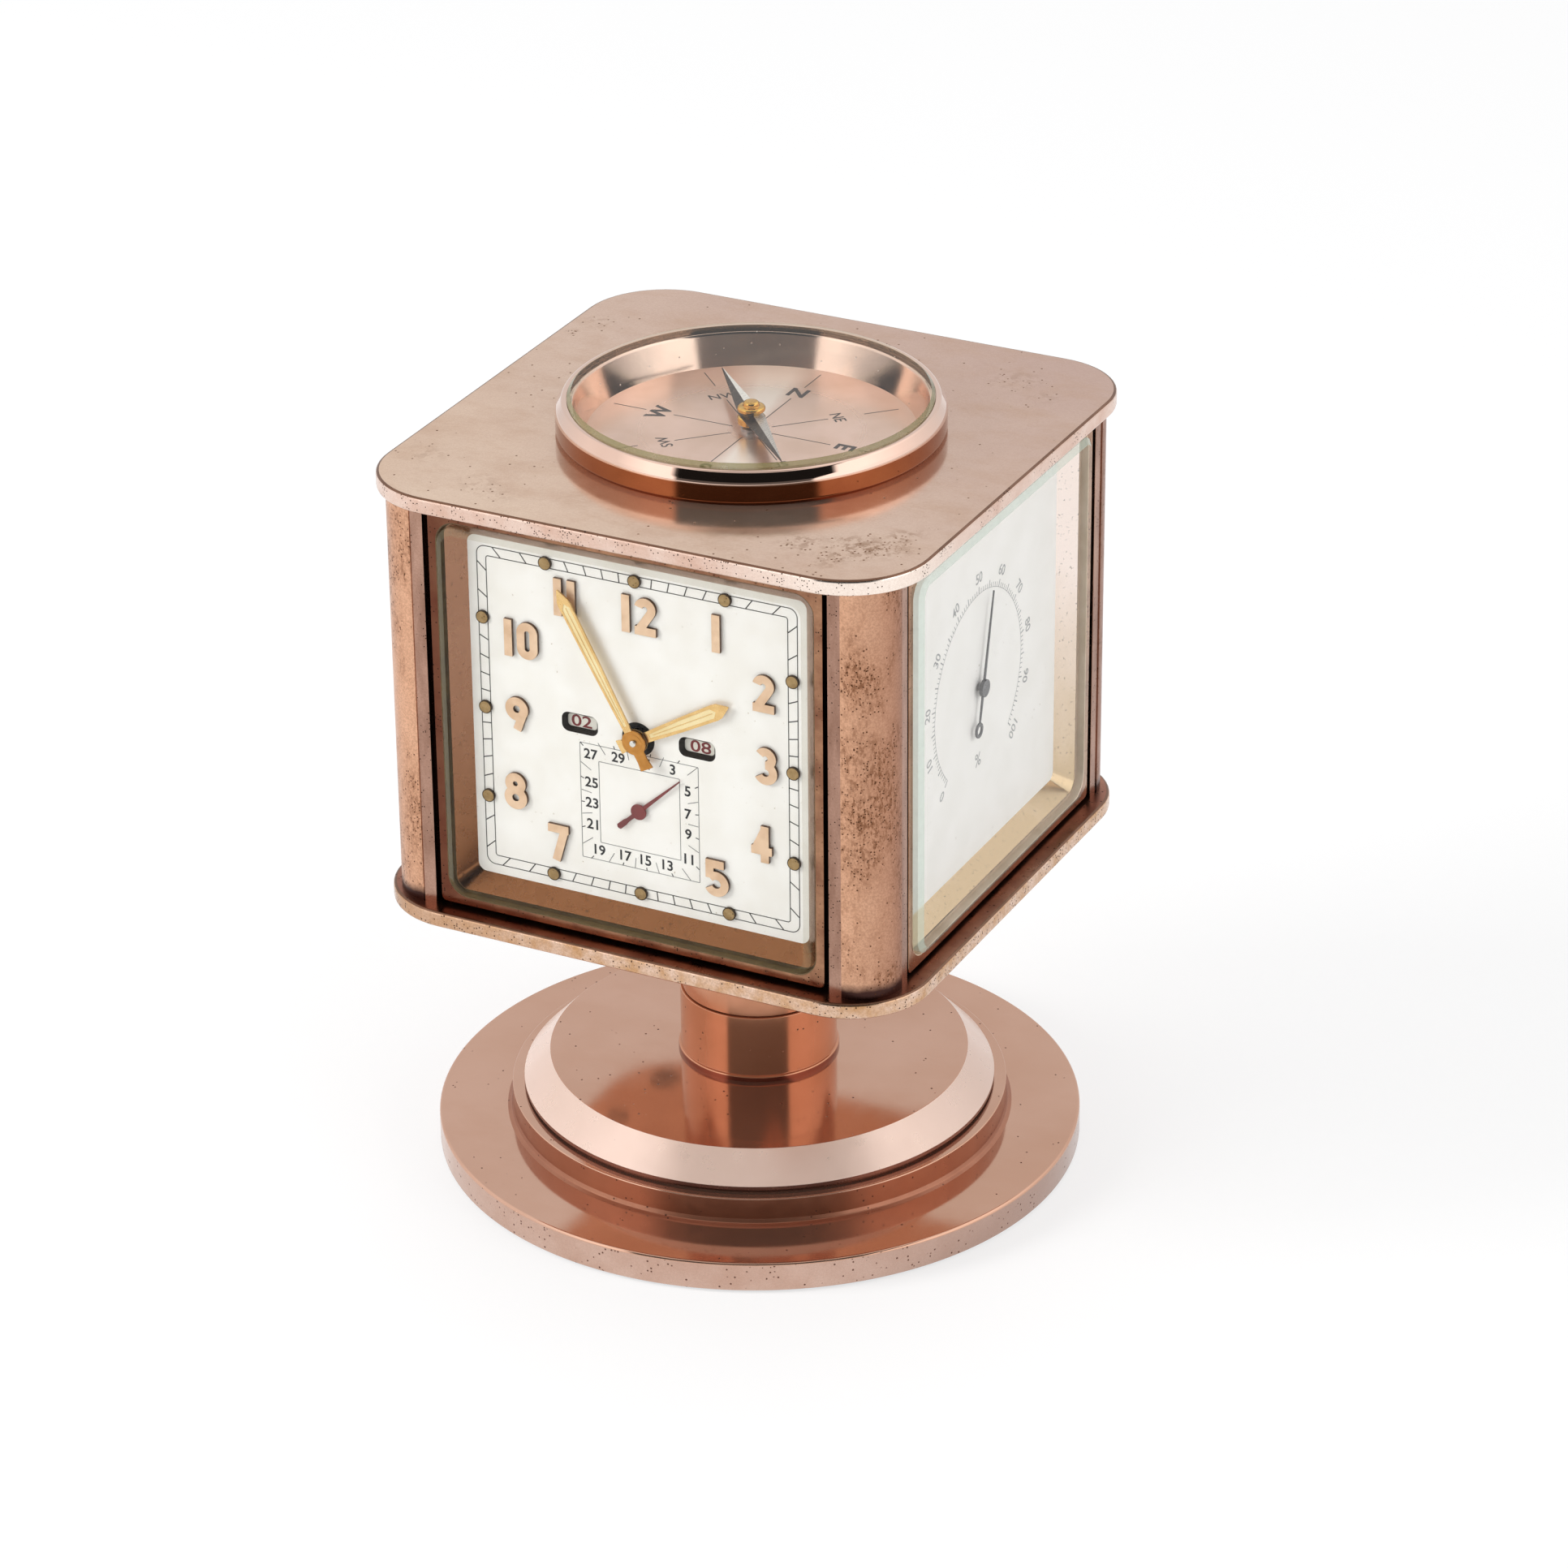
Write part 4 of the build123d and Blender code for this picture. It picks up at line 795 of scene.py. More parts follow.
def make_posts():
    """Four corner posts: a matt quarter round between two narrow ribs."""
    rib = post_face - rib_step
    start = post_face - post_corner
    inner_side = post_face - post_width
    ledge = inner_side - post_ledge
    leg = ledge + post_leg
    soft = 0.1 * MM
    outline = soften([
        (rib, start, 0), (post_face, start, 0), (post_face, post_face, post_corner * 0.9999),
        (start, post_face, 0), (start, rib, 0)], 28, closed=False)
    outline += soften([
        (start, rib, 0), (inner_side, rib, soft), (inner_side, tray_back, 0), (ledge, tray_back, soft),
        (ledge, leg, soft), (leg, ledge, soft), (tray_back, ledge, soft), (tray_back, inner_side, 0),
        (rib, inner_side, soft), (rib, start, 0)], 3, closed=False)[1:-1]
    rings = [[(x, y, z) for x, y in outline] for z in (post_foot, post_top)]
    names = ("post_back_right", "post_back_left", "post_front_left", "post_front_right")
    for turn, name in enumerate(names):
        made = piece(name + "_body", skin(rings, closed=False), [post_metal, rib_metal], "head", "post",
                     name, place=Matrix.Rotation(radians(90 * turn), 4, "Z"), smooth=20)
        for face in made.data.polygons:
            spot = Matrix.Rotation(radians(-90 * turn), 3, "Z") @ face.center
            face.material_index = 0 if min(spot.x, spot.y) > start - 0.01 * MM else 1


def frame_mesh():
    """A face's frame; its bands are the front, the slope, the flank in painted shade and the seat of the
    glass.
    """
    # A point is (half width, level, rounding, corner radius, band).
    section = soften([
        (flange_half, tray_back, 0, frame_corner, 2),
        (flange_half, frame_front - flange_depth, edge_soft, frame_corner, 2),
        (frame_half, frame_front - flange_depth, 0, frame_corner, 2),
        (frame_half, frame_front, edge_soft, frame_corner, 0),
        (opening_half, frame_front, edge_soft, opening_corner, 3),
        (opening_half, glass_back, 0, opening_corner, 3),
        (seat_half, glass_back, edge_soft, seat_corner, 1),
        (sight_half, dial_front, 0, sight_corner, 0),
        (dial_half + 0.1 * MM, dial_front, 0, frame_corner, 0),
        (dial_half + 0.1 * MM, tray_back, 0, frame_corner, 0)], 3)
    return skin([square_ring(half, level, corner) for half, level, corner, _ in section],
                bands=[mark for _, _, _, mark in section])


def pane_mesh(ring, half, low, high, bevel, depth):
    """A pane with a bevel round its front. The ring function makes its outlines; band 1 is its cut edge."""
    profile = soften([
        (half - 0.4 * MM, low, 0, 0), (half, low, 0.08 * MM, 1), (half, high - depth, 0.1 * MM, 1),
        (half - bevel, high, 0.06 * MM, 0), (half - 2 * bevel, high, 0, 0)], 3, closed=False)
    return skin([ring(h, z) for h, z, _ in profile], closed=False, bands=[mark for _, _, mark in profile])


def square_pane():
    def ring(half, level):
        return square_ring(half, level, glass_corner - (glass_half - half))
    return pane_mesh(ring, glass_half, glass_back, glass_front, glass_bevel, glass_bevel_depth)


def flat_with_holes(outline, holes, low, high):
    """A flat plate between two levels, its outline and holes given as lists of points."""
    curve = bpy.data.curves.new("flat", "CURVE")
    curve.dimensions = "2D"
    curve.fill_mode = "BOTH"
    curve.extrude = (high - low) / 2
    for line in (outline, *holes):
        spline = curve.splines.new("POLY")
        spline.points.add(len(line) - 1)
        for point, (x, y) in zip(spline.points, line):
            point.co = (x, y, 0, 1)
        spline.use_cyclic_u = True
    mesh = filled(curve)
    mesh.transform(Matrix.Translation((0, 0, (low + high) / 2)))
    return mesh


def rounded(half_wide, half_tall, corner, across=0.0, up=0.0):
    """A rounded rectangle as a list of points."""
    line = soften([(half_wide, half_tall, corner), (-half_wide, half_tall, corner),
                   (-half_wide, -half_tall, corner), (half_wide, -half_tall, corner)], 8)
    return [(x + across, y + up) for x, y in line]


def make_faces():
    """The frame and pane of each face, and the plain dials of the three weather instruments."""
    arbor_hole = circle(0.65 * MM)
    for side in side_turns:
        here = on_side(side)
        body = "head"
        frame_finishes = [frame_metal, wall_side, flank_shade, seat_side]
        cut = pane_edge
        if side == "clock":
            body = "clock_module"
            frame_finishes = [frame_clock, wall_clock_shaded, flank_shade, seat_clock]
            cut = pane_edge_clock
        piece(side + "_frame_body", frame_mesh(), frame_finishes, body, "frame", side + "_frame",
              place=here)
        piece(side + "_glass_pane", square_pane(), [clear_glass, cut], body, "glass", side + "_glass",
              place=here)
        if side != "clock":
            dial = flat_with_holes(rounded(dial_half, dial_half, frame_corner), [arbor_hole], dial_back,
                                   dial_front)
            piece(side + "_dial_face", dial, white_paint, body, "white_dial", side + "_dial", place=here,
                  smooth=10)


# Middles of the hour numerals by hour, right and up from the dial's middle: here, and in the model
numeral_places = {
    0: ((0.2, 19.2), (0.0, 19.1)), 1: ((12.6, 18.9), (12.0, 19.1)), 2: ((19.8, 11.3), (19.6, 11.9)),
    3: ((20.0, 0.3), (19.6, 0.0)), 4: ((19.3, -11.9), (19.6, -11.9)), 5: ((12.1, -18.9), (12.0, -19.1)),
    7: ((-12.9, -18.9), (-12.0, -19.1)), 8: ((-19.6, -12.2), (-19.6, -11.9)),
    9: ((-19.0, -0.2), (-19.6, 0.0)), 10: ((-18.5, 11.7), (-19.6, 11.9)),
    11: ((-10.9, 19.5), (-12.0, 19.1))}
window_across = 9.2 * MM
window_up = 0.4 * MM
window_wide = 2.85 * MM
window_tall = 1.5 * MM
window_corner = 1.1 * MM
dial_hole = 2.55 * MM
date_pivot = -11.2 * MM


def make_clock_dial():
    """The clock dial with two windows in bevels of painted shade, and the numbered discs behind them."""
    here = on_side("clock")
    windows = [rounded(window_wide, window_tall, window_corner, side * window_across, window_up)
               for side in (-1, 1)]
    holes = windows + [circle(dial_hole), circle(0.75 * MM, 32, 0, date_pivot)]
    face = flat_with_holes(rounded(dial_half, dial_half, frame_corner), holes, dial_back, dial_front)
    piece("clock_dial_face", face, silver_paint, "clock_module", "silver_dial", "clock_dial", place=here,
          smooth=10)
    # A black ring in the dial's hole, painted shade round the hands' pipe.
    bush = 1.6 * MM
    piece("clock_dial_bush", lathe([
        (bush, dial_back, 0), (dial_hole, dial_back, 0), (dial_hole, dial_front - 0.1 * MM, 0),
        (bush, dial_front - 0.3 * MM, 0)]), hole_shade_black, "clock_module", "silver_dial", place=here)
    disc_front = -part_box("day_disc")[0].y
    lining_back = disc_front + 0.08 * MM
    inset = 0.55 * MM
    # The windows' bevels are dark, painted shade in the recess round the discs.
    for side, name in ((-1, "left"), (1, "right")):
        rows = ((window_wide, window_tall, window_corner, dial_front + 0.01 * MM),
                (window_wide - inset, window_tall - inset, window_corner - inset, lining_back),
                (window_wide, window_tall, window_corner, lining_back))
        rings = [[(x, y, level) for x, y in rounded(wide, tall, corner, side * window_across, window_up)]
                 for wide, tall, corner, level in rows]
        piece(f"clock_window_{name}", skin(rings), window_shade, "clock_module", "silver_dial", place=here)
    for name, side, count, shown in (("day_disc", -1, 7, 2), ("month_disc", 1, 12, 8)):
        low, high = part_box(name)
        centre = Vector(((low.x + high.x) / 2, window_up))
        reach = abs(centre.x) - window_across - 0.15 * MM
        marks = Print(-low.y)
        for number in range(1, count + 1):
            turn = 360 / count * (number - shown)
            way = Vector((-side * reach, 0))
            way.rotate(Matrix.Rotation(-radians(turn), 2))
            marks.text(f"{number:02d}", *(centre + way), 1.8 * MM, turn, bold=0.012, squeeze=1.35)
        marks.place(name + "_print", red_ink, name + "_body", "disc_white", "clock")


def make_dots():
    """Twelve low brass dots with dark rims, on the square of the minute track."""
    reach = 24.15 * MM
    _, top, outside = depths(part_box("hour_dots"))
    radius = outside - reach
    work = bmesh.new()
    profile = soften([
        (AXIS, dial_front, 0, 1), (radius, dial_front, 0, 1), (radius, top - 0.06 * MM, 0, 1),
        (radius - 0.14 * MM, top - 0.02 * MM, 0.03 * MM, 0), (AXIS, top, 0, 0)], 3)
    for hour in range(12):
        mesh = skin([round_ring(r, z, 40) for r, z, _ in profile], bands=[mark for _, _, mark in profile])
        mesh.transform(Matrix.Translation((*toward(30 * hour, reach * to_square(30 * hour)), 0)))
        work.from_mesh(mesh)
        bpy.data.meshes.remove(mesh)
    piece("hour_dots_turned", as_mesh(work), [dot_face, dot_rim], "clock_module", "numeral", "hour_dots",
          place=on_side("clock"))


def make_numerals():
    """The model's hour numerals, each moved, drawn in about its own middle and made a little bolder."""
    middles = {hour: Vector(in_model) * MM for hour, (_, in_model) in numeral_places.items()}

    def away(spot, middle):
        """How far a spot is from a numeral's middle, for numerals that are wider than they are high."""
        return max(abs(spot.x - middle.x) / 4.6, abs(spot.y - middle.y) / 3.4)

    mesh = nodes["hour_numerals"].data.copy()
    mesh.materials.clear()
    mesh.transform(on_side("clock").inverted())
    work = bmesh.new()
    work.from_mesh(mesh)
    bmesh.ops.remove_doubles(work, verts=work.verts, dist=1e-6)
    bmesh.ops.dissolve_limit(work, angle_limit=radians(1), verts=work.verts, edges=work.edges)
    bmesh.ops.recalc_face_normals(work, faces=work.faces)
    moves = []
    for vertex in work.verts:
        spot = vertex.co.xy
        hour = min(middles, key=lambda one: away(spot, middles[one]))
        walls = [face.normal.xy for face in vertex.link_faces if abs(face.normal.z) < 0.5]
        aside = sum(walls, Vector((0, 0)))
        bolder = aside * (0.05 * MM * len(walls) / max(aside.length_squared, 0.25)) if walls else aside
        here = Vector(numeral_places[hour][0]) * MM
        moves.append((vertex, here + (spot - middles[hour]) * 0.92 + bolder))
    for vertex, spot in moves:
        vertex.co.x, vertex.co.y = spot
    work.to_mesh(mesh)
    work.free()
    bevelled(piece("hour_numerals_raised", mesh, numeral_metal, "clock_module", "numeral", "hour_numerals",
                   place=on_side("clock"), smooth=25), 0.08 * MM)


def clock_print():
    """Minute track on the clock dial, and the square date ring below its middle."""
    body = "clock_module"
    track = Print(dial_front)
    outer, inner, line = 24.85 * MM, 23.4 * MM, 0.13 * MM
    track.frame(outer, 1.3 * MM, line)
    track.frame(inner, 0.4 * MM, line)
    for minute in range(60):
        if minute % 5:
            stretch = to_square(6 * minute)
            track.ray(6 * minute, inner * stretch, outer * stretch, 0.16 * MM)
    track.place("clock_track_print", track_ink, body, "silver_dial", "clock")

    lines = Print(dial_front)
    days = Print(dial_front)
    pivot = (0, date_pivot)
    lines.frame(9.3 * MM, 0.1 * MM, 0.09 * MM, (0, date_pivot - 0.2 * MM), 9.0 * MM)
    lines.frame(6.35 * MM, 0.1 * MM, 0.09 * MM, pivot)
    for day in range(1, 32):
        angle = 360 * day / 31
        stretch = to_square(angle) * MM
        if day % 2:
            days.ray(angle, 8.75 * stretch, 9.25 * stretch, 0.13 * MM, pivot)
        else:
            lines.ray(angle, 7.6 * stretch, 9.2 * stretch, 0.1 * MM, pivot)
        if day % 2 and day < 31:
            across, up = toward(angle, 7.6 * stretch)
            days.text(str(day), across, date_pivot + up, 1.6 * MM, bold=0.018)
    lines.place("clock_date_lines_print", fine_ink, body, "silver_dial", "clock")
    days.place("clock_date_numbers_print", date_ink, body, "silver_dial", "clock")


def weather_print(side, first, last, step, sign):
    """A fine scale over three quarters of a turn, with plain numbers outside it."""
    scale = Print(dial_front)
    radius = 14.4 * MM
    scale.arc(radius, 0.07 * MM, -135, 135)
    count = round((last - first) / step)
    for mark in range(10 * count + 1):
        angle = -135 + 270 * mark / (10 * count)
        length, width = (0.7, 0.13) if mark % 5 else (1.1, 0.2)
        scale.ray(angle, radius, radius + length * MM, width * MM)
    for index in range(count + 1):
        angle = -135 + 270 * index / count
        number = str(first + step * index)
        scale.text(number, *toward(angle, radius + 2.5 * MM), 1.6 * MM, angle, bold=0.01)
    scale.text(sign, 0, -11.5 * MM, 2.0 * MM)
    scale.place(side + "_scale_print", scale_ink, "head", "white_dial", side)


def leaf(profile):
    """A symmetric outline from (height, half width) points in millimetres."""
    right = [(w * MM, h * MM) for h, w in profile]
    return right + [(-x, y) for x, y in reversed(right) if x > 0]


def bevelled(made, width):
    """Soften a piece's sharp edges, before its shading is evened out."""
    trim = made.modifiers.new("soft_edges", "BEVEL")
    trim.width = width
    trim.segments = 2
    trim.limit_method = "ANGLE"
    trim.angle_limit = radians(40)
    made.modifiers.move(1, 0)


def make_hand(name, angle, low, high, length, wide, tail, hub_finish, body, node):
    """A gilt hand: a long blade round a cream inlay with a fine middle line, a round hub, a flared tail."""
    hub = 1.85
    turn = on_side("clock") @ clockwise(angle)
    blade = leaf([(1.0, wide * 0.3), (length * 0.5, wide * 0.44), (length - 2.4, wide / 2),
                  (length - 1.7, wide * 0.46), (length, 0.07)])
    slot = leaf([(2.6, wide * 0.12), (length * 0.5, wide * 0.27), (length - 2.9, wide * 0.31),
                 (length - 2.2, 0.03)])
    piece(name + "_blade", flat_with_holes(blade, [slot], low, high), gilt_metal, body, "hand_gilt", node,
          place=turn, smooth=10)
    piece(name + "_inlay", flat_with_holes(slot, [], low, high - 0.05 * MM), lume, body, "hand_gilt",
          place=turn, smooth=10)
    rib = leaf([(3.2, 0.05), (length - 2.8, 0.05)])
    piece(name + "_rib", flat_with_holes(rib, [], low, high - 0.01 * MM), gilt_metal, body, "hand_gilt",
          place=turn, smooth=10)
    # The hub's right half from the tail up, as (height, half width).
    bulge = [(hub * sin(radians(a)), hub * cos(radians(a))) for a in range(-62, 73, 6)]
    plate = leaf([(-tail, 1.05), (-tail + 1.4, 0.86), *bulge])
    bevelled(piece(name + "_hub", flat_with_holes(plate, [], low + 0.01 * MM, high + 0.02 * MM), hub_finish,
                   body, "hand_gilt", place=turn, smooth=10), 0.06 * MM)


def make_hands():
    """The minute and hour hands with their cap and pipe, and the red date hand."""
    here = on_side("clock")
    back, front, _ = depths(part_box("minute_hand"))
    make_hand("minute_hand", -28.7, back, front, 24.0, 2.0, 4.2, hub_gilt, "minute_train", "minute_hand")
    step = front + 0.06 * MM
    _, front, _ = depths(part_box("hour_hand"))
    make_hand("hour_hand", 60.4, front - 0.25 * MM, front, 16.7, 2.4, 3.0, gilt_metal, "hour_hand_body",
              "hour_hand")
    bore = 0.95 * MM
    pipe = 1.45 * MM
    pipe_top = front - 0.24 * MM
    # The pipe is black too, painted shade under the hands.
    piece("hour_hand_pipe", lathe([
        (bore, dial_back, 0), (pipe, dial_back, 0), (pipe, pipe_top, 0), (bore, pipe_top, 0)]),
        hole_shade_black, "hour_hand_body", "steel", place=here)
    back, front, cap = depths(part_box("hand_cap"))
    piece("hand_cap_turned", lathe([
        (AXIS, back, 0, 0), (cap, back, 0, 0), (cap, step, 0.05 * MM, 0), (0.52 * MM, step, 0, 1),
        (0.5 * MM, front, 0.2 * MM, 1), (AXIS, front, 0, 1)]),
        [hub_gilt, pin_steel], "minute_train", "hand_gilt", "hand_cap", place=here)

    _, level, _ = depths(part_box("date_hand"))
    work = bmesh.new()
    prism(work, leaf([(-4.5, 0.12), (-4.3, 0.45), (-2.9, 0.42), (-2.5, 0.3), (0.0, 0.34), (9.0, 0.1)]),
          level - 0.2 * MM, level)
    prism(work, circle(1.2 * MM), level - 0.2 * MM, level + 0.02 * MM)
    bevelled(piece("date_hand_red", as_mesh(work), red_paint, "date_hand_body", "red", "date_hand",
                   place=here @ Matrix.Translation((0, date_pivot, 0)) @ clockwise(46.9)), 0.05 * MM)


def make_needle(side, angle):
    """A fine dark pointer with a round hub and an open ring at its tail."""
    low = dial_front + 0.7 * MM
    high = low + 0.25 * MM
    work = bmesh.new()
    prism(work, leaf([(-5.2, 0.14), (0.0, 0.27), (14.2, 0.07)]), low, high)
    band(work, circle(1.15 * MM, 32, 0, -6.25 * MM), circle(0.65 * MM, 32, 0, -6.25 * MM), low, high)
    prism(work, circle(1.3 * MM), low, high + 0.3 * MM)
    bevelled(piece(side + "_pointer", as_mesh(work), needle_steel, side + "_needle_body", "steel",
                   side + "_needle", place=on_side(side) @ clockwise(angle)), 0.04 * MM)


def make_compass():
    """Bezel, glass, cone, dial and its print, the needle in two halves, and the cap."""
    base, top, bulge = levels(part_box("compass_bezel"))
    seat, glass_top, pane = levels(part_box("compass_glass"))
    dial_low, floor, dial_edge = levels(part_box("compass_dial"))
    rebate = pane + 0.05 * MM
    wall = rebate - 0.3 * MM
    foot = bulge - 0.4 * MM
    crown = bulge - 1.0 * MM
    # The bezel's lower band is a painted reflection of the plate.
    piece("compass_bezel_turned", lathe([
        (wall, base, 0, 0), (foot, base, 0, 1), (bulge, base + 0.6 * MM, 0.5 * MM, 1),
        (bulge, base + 3.4 * MM, 1.4 * MM, 0), (crown, top, 0.5 * MM, 0), (rebate, top, 0.05 * MM, 0),
        (rebate, seat, 0, 0), (wall, seat, 0, 0)], 10),
        [bezel_metal, bezel_foot_shade], "head", "plate", "compass_bezel", smooth=40)
    piece("compass_glass_pane", pane_mesh(round_ring, pane, seat, glass_top, 0.55 * MM, 0.5 * MM),
          [clear_glass, round_edge], "head", "glass", "compass_glass")
    inner = dial_edge - 0.95 * MM
    outer = wall - 0.05 * MM
    mouth = wall - 0.5 * MM
    piece("compass_cone_turned", lathe([
        (inner, floor, 0), (dial_edge, floor, 0), (dial_edge, base, 0), (outer, base, 0), (outer, seat, 0),
        (mouth, seat, 0.1 * MM), (mouth - 0.15 * MM, seat - 0.3 * MM, 0.1 * MM)]),
        cone_metal, "head", "plate", "compass_cone")
    pivot_hole = 0.5 * MM
    piece("compass_dial_turned", lathe([
        (pivot_hole, dial_low, 0), (dial_edge, dial_low, 0), (dial_edge, floor, 0),
        (pivot_hole, floor, 0)]),
        compass_face, "head", "rose_dial", "compass_dial")
    marks = Print(floor)
    for index, letters in enumerate(("N", "NE", "E", "SE", "S", "SW", "W", "NW")):
        angle = 45 * index
        main = len(letters) == 1
        marks.ray(angle, 3.0 * MM, (12.4 if main else 11.4) * MM, 0.13 * MM)
        marks.ray(angle, 16.8 * MM, 22.0 * MM, 0.13 * MM)
        reach, tall, bold = (14.7, 2.9, 0.03) if main else (12.9, 1.7, 0.005)
        marks.text(letters, *toward(angle, reach * MM), tall * MM, angle, bold)
    marks.place("compass_print", compass_ink, "head", "rose_dial")

    low, high, _ = levels(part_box("compass_needle"))
    half_wide = 1.65 * MM
    waist = 1.6 * MM
    length = 17.6 * MM
    eaves = low + 0.08 * MM
    for name, pale, way, replaced in (("compass_needle_north", pointer_pale, 1, ["compass_needle"]),
                                      ("compass_needle_south", pointer_grey, -1, [])):
        edge = [(0, length * way, eaves), (half_wide, waist * way, eaves), (half_wide, 0, eaves),
                (-half_wide, 0, eaves), (-half_wide, waist * way, eaves)]
        under = [(x, y, low) for x, y, _ in edge]
        ridge = [(0, length * 0.97 * way, high), (0, 0, high)]
        faces = [(0, 1, 10), (1, 2, 11, 10), (3, 4, 10, 11), (4, 0, 10), (2, 3, 11), (5, 6, 7, 8, 9)]
        faces += [(i, (i + 1) % 5, 5 + (i + 1) % 5, 5 + i) for i in range(5)]
        mesh = bpy.data.meshes.new(name)
        mesh.from_pydata(edge + under + ridge, [], faces)
        # Facets on the left side get the dark finish, painted shade.
        for face in mesh.polygons:
            face.material_index = 0 if face.center.x < -0.05 * MM else 1
        piece(name, mesh, [pointer_shade, pale], "compass_needle_body", "steel", *replaced,
              place=clockwise(-41), smooth=5)
    cap_low, cap_top, cap = levels(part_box("compass_cap"))
    bore = 0.7 * MM
    stem = 1.3 * MM
    # From below: the hub under the needle, the stem that holds it, and the cap's ring and knob on top.
    piece("compass_cap_turned", lathe([
        (bore, low - 1.3 * MM, 0), (cap, low - 1.3 * MM, 0.3 * MM), (cap, low - 0.1 * MM, 0.3 * MM),
        (stem, low - 0.05 * MM, 0), (stem, cap_low + 0.3 * MM, 0.05 * MM),
        (cap, cap_low + 0.35 * MM, 0.3 * MM), (cap, cap_low + 1.1 * MM, 0.35 * MM),
        (1.2 * MM, cap_low + 1.12 * MM, 0.1 * MM), (1.1 * MM, cap_top, 0.4 * MM), (AXIS, cap_top, 0),
        (AXIS, low + 0.1 * MM, 0), (bore, low + 0.1 * MM, 0)], 6),
        cap_brass, "compass_needle_body", "steel", "compass_cap")


def dress_model():
    """Give the model's own parts that stay their finishes."""
    kept = {
        brass: ("centre_arbor", "movement_front_plate", "movement_back_plate", "movement_pillars",
                "mainspring_barrel", "winding_key", "hygrometer_plate", "thermometer_plate",
                "barometer_plate", "thermometer_coil", "capsule_bracket", "sector_lever"),
        steel: ("spindle", "spindle_nut", "compass_pivot", "hygrometer_coil", "aneroid_capsule"),
        under_metal: ("tie_screws", "face_screws"),
        disc_paint: ("day_disc", "month_disc")}
    for finish, names in kept.items():
        for name in names:
            nodes[name].data.materials.clear()
            nodes[name].data.materials.append(finish)


def make_camera():
    """The camera stands where the photograph was taken from, worked out from the object's edges."""
    photo_size = 1932
    focal_length = 7114.86
    film_width = 36
    azimuth, elevation, roll = radians(26.925), radians(26.839), radians(-0.565)
    aim_height = 60.558 * MM
    distance = 838.39 * MM
    moved_right = 4.110 * MM
    moved_down = 2.927 * MM
    away = Vector((sin(azimuth) * cos(elevation), -cos(azimuth) * cos(elevation), sin(elevation)))
    right = Vector((cos(azimuth), sin(azimuth), 0))
    up = away.cross(right)
    right, up = right * cos(roll) + up * sin(roll), up * cos(roll) - right * sin(roll)
    eye = Vector((0, 0, aim_height)) + away * distance + right * moved_right - up * moved_down
    data = bpy.data.cameras.new("photo_camera")
    data.sensor_width = film_width
    data.lens = film_width * focal_length / photo_size
    camera = put("photo_camera", data)
    camera.matrix_world = Matrix.Translation(eye) @ Matrix((right, up, away)).transposed().to_4x4()
    bpy.context.scene.camera = camera
    return azimuth


def make_lamp(name, azimuth, elevation, distance, size, power):
    """A soft square lamp that looks at the object and isn't mirrored in it."""
    data = bpy.data.lights.new(name, "AREA")
    data.size = size
    data.energy = power
    lamp = put(name, data)
    a, e = radians(azimuth), radians(elevation)
    spot = Vector((sin(a) * cos(e), -cos(a) * cos(e), sin(e))) * distance
    aim = Vector((0, 0, 50 * MM))
    lamp.location = spot + aim
    lamp.rotation_euler = spot.to_track_quat("Z", "Y").to_euler()
    lamp.visible_glossy = False
    lamp.visible_camera = False


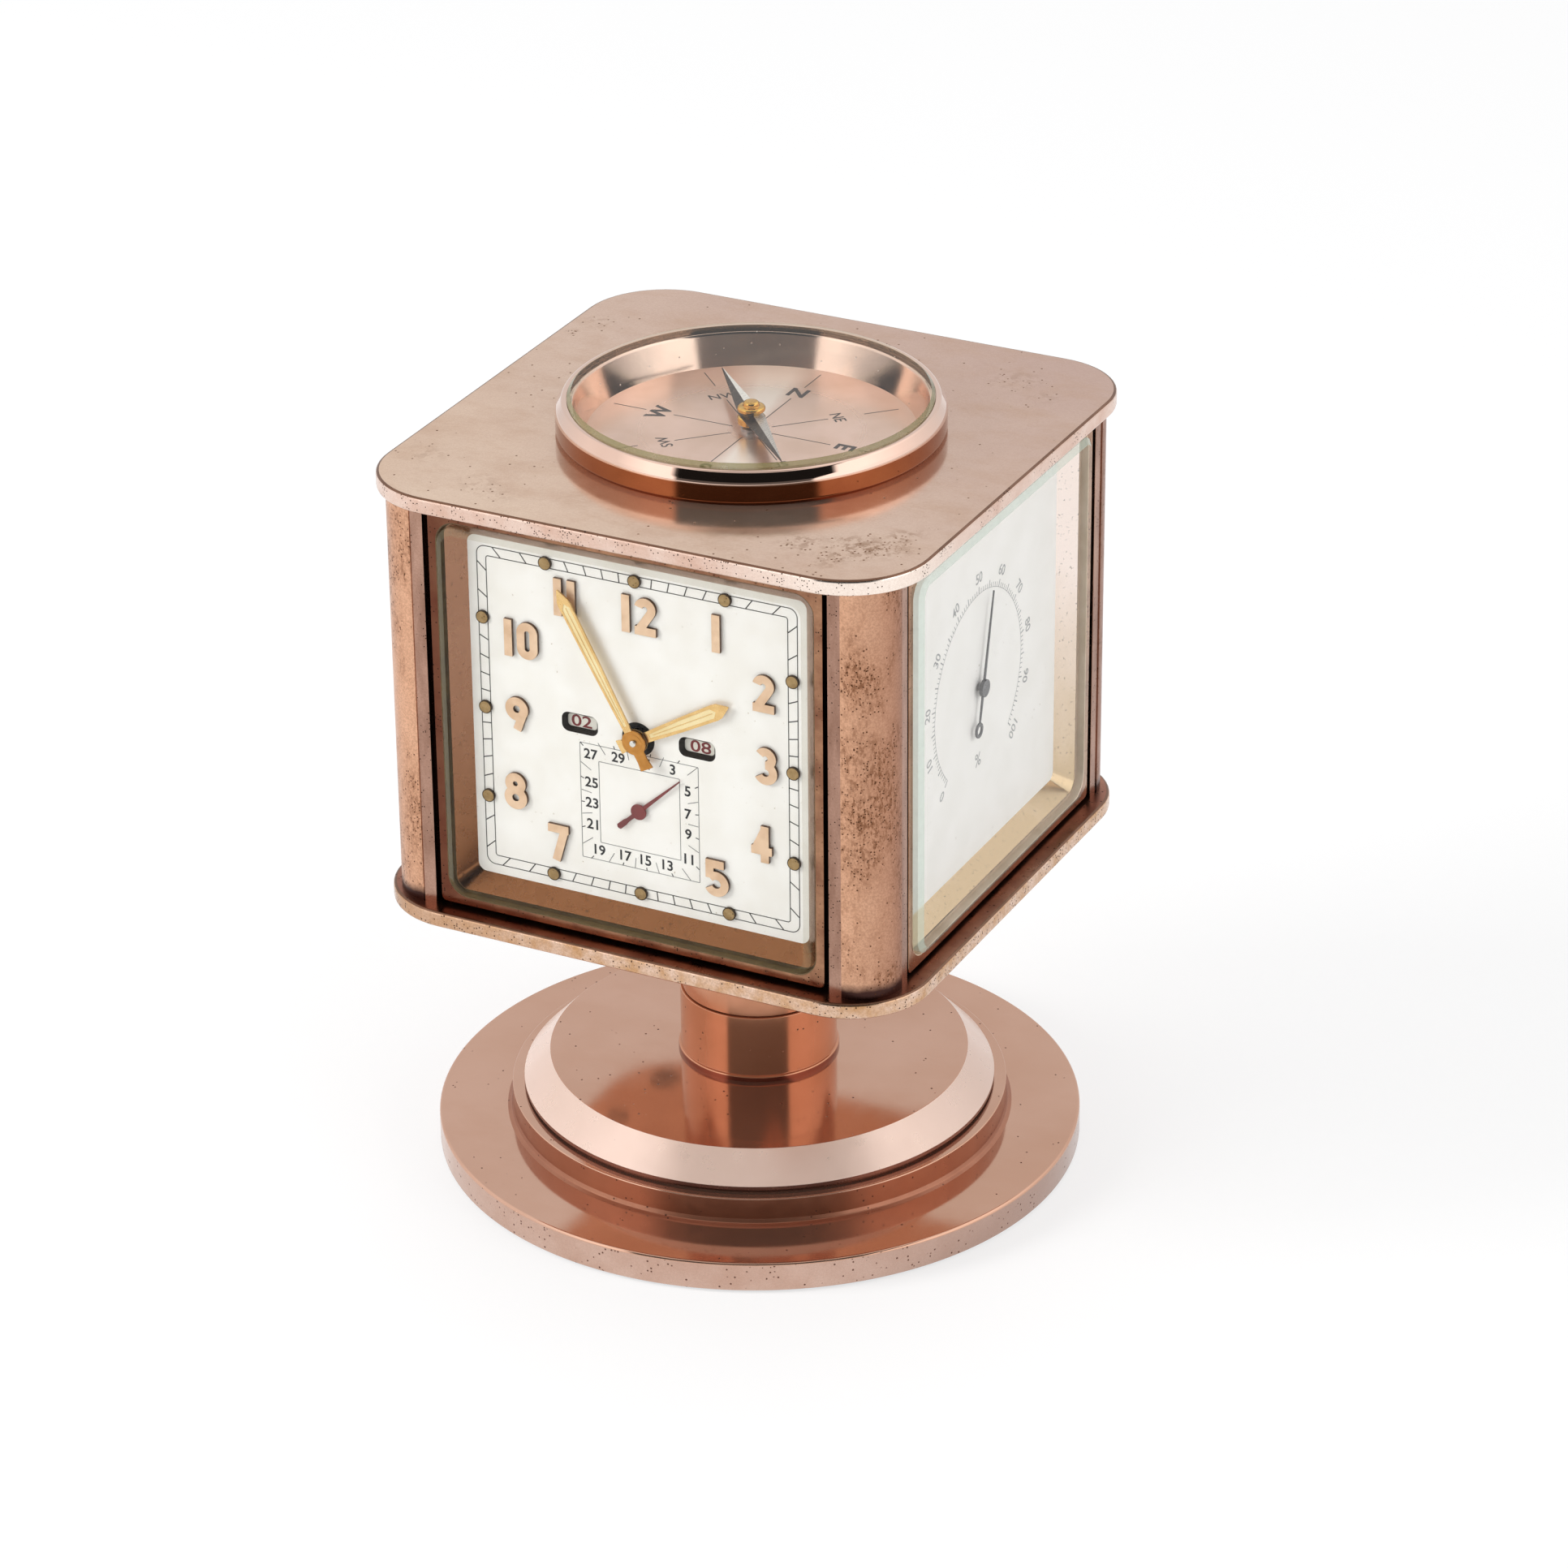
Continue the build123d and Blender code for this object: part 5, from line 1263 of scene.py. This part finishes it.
def make_world(azimuth):
    """A white studio. Mirrors see bright boxes at the sides, a dark front and a calm back instead."""
    world = bpy.data.worlds.new("studio")
    bpy.context.scene.world = world
    world.use_nodes = True
    world.node_tree.nodes.clear()
    sky = Shading(world.node_tree)
    maths = sky.maths
    x, y, z = sky.parts(sky.node("ShaderNodeTexCoord").outputs["Generated"])
    # The angle sideways from the front of the studio, as a share of a whole turn that starts at the back
    ahead = maths("SUBTRACT", maths("MULTIPLY", x, sin(azimuth)), maths("MULTIPLY", y, cos(azimuth)))
    aside = maths("ADD", maths("MULTIPLY", x, cos(azimuth)), maths("MULTIPLY", y, sin(azimuth)))
    # Higher up the dark front grows wider, mostly to the right.
    rise = maths("POWER", maths("MAXIMUM", z, 0.0), 3.0)
    straight = maths("DIVIDE", maths("ARCTAN2", aside, ahead), 2 * pi)
    moved = maths("SUBTRACT", straight, maths("MULTIPLY", rise, 0.085))
    turn = maths("ADD", maths("DIVIDE", moved, maths("ADD", 1.0, maths("MULTIPLY", rise, 1.45))), 0.5)
    # Brightness by angle: dark in front, bright boxes at both sides of it, and a calmer backdrop behind
    around = [(-180, 0.84), (-144, 0.84), (-108, 1.1), (-80, 1.1), (-58, 1.6), (-45, 1.6), (-42, 0.012),
              (33, 0.012), (36, 1.6), (58, 1.6), (108, 1.1), (144, 0.84), (180, 0.84)]
    sides = sky.ramp(turn, *[(angle / 360 + 0.5, value) for angle, value in around])
    # Low down the dark front is a little lighter, so that level faces seen from behind are not black.
    low = sky.share(z, 0.3, 0.42, 0.13, 0.0, interpolation_type="SMOOTHSTEP")
    sides = sky.mix(1.0, sides, low, "LIGHTEN")
    height = sky.share(z, 0.8, 0.86, interpolation_type="SMOOTHSTEP")
    mirrored = sky.mix(height, sides, sky.share(z, 0.94, 0.98, 1.05, 0.3))
    ray = sky.node("ShaderNodeLightPath").outputs
    is_seen = maths("MAXIMUM", ray["Is Camera Ray"], ray["Is Transmission Ray"])
    plain = sky.mix(is_seen, (0.52, 0.52, 0.525, 1), (1, 1, 1, 1))
    colour = sky.mix(ray["Is Glossy Ray"], plain, mirrored)
    background = sky.node("ShaderNodeBackground", {"Color": colour, "Strength": 1.0})
    sky.node("ShaderNodeOutputWorld", {"Surface": background.outputs[0]})


def make_floor():
    """A wide white floor that takes the object's soft shadow."""
    reach = 3.0
    corners = [(-reach, -reach, 0), (reach, -reach, 0), (reach, reach, 0), (-reach, reach, 0)]
    mesh = bpy.data.meshes.new("floor")
    mesh.from_pydata(corners, [], [(0, 1, 2, 3)])
    floor = put("floor", mesh)
    made = Finish("floor_white", Roughness=0.9, Specular_IOR_Level=0.05)
    ray = made.node("ShaderNodeLightPath").outputs
    seen = made.maths("MAXIMUM", ray["Is Glossy Ray"], ray["Is Transmission Ray"])
    seen = made.maths("MAXIMUM", ray["Is Camera Ray"], seen)
    # What is seen is mostly its own white, and the rest takes the shadow; what lights the object is plain.
    made.set(Base_Color=made.mix(seen, (0.86, 0.86, 0.86, 1), (0.4, 0.4, 0.4, 1)),
             Emission_Color=(1, 1, 1, 1), Emission_Strength=made.maths("MULTIPLY", seen, 0.63))
    mesh.materials.append(made.material)
    floor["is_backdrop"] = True


make_base()
make_plates()
make_posts()
make_faces()
make_clock_dial()
make_dots()
make_numerals()
clock_print()
weather_print("hygrometer", 0, 100, 10, "%")
weather_print("barometer", 960, 1060, 10, "hPa")
weather_print("thermometer", -20, 60, 10, "°C")
make_hands()
for side, angle in (("hygrometer", 13.0), ("thermometer", -21.0), ("barometer", 8.0)):
    make_needle(side, angle)
make_compass()
dress_model()
make_world(make_camera())
make_floor()
make_lamp("key_lamp", -52, 26, 1.1, 0.45, 7.4)
make_lamp("fill_lamp", 84, 30, 1.2, 0.8, 4.2)
make_lamp("top_lamp", 200, 65, 1.3, 1.0, 2.6)

bpy.context.scene.view_settings.view_transform = "Standard"


def plain(box):
    return [[round(float(value), 6) for value in corner] for corner in box]


{"cad": plain(cad_box), "visual": plain(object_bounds())}
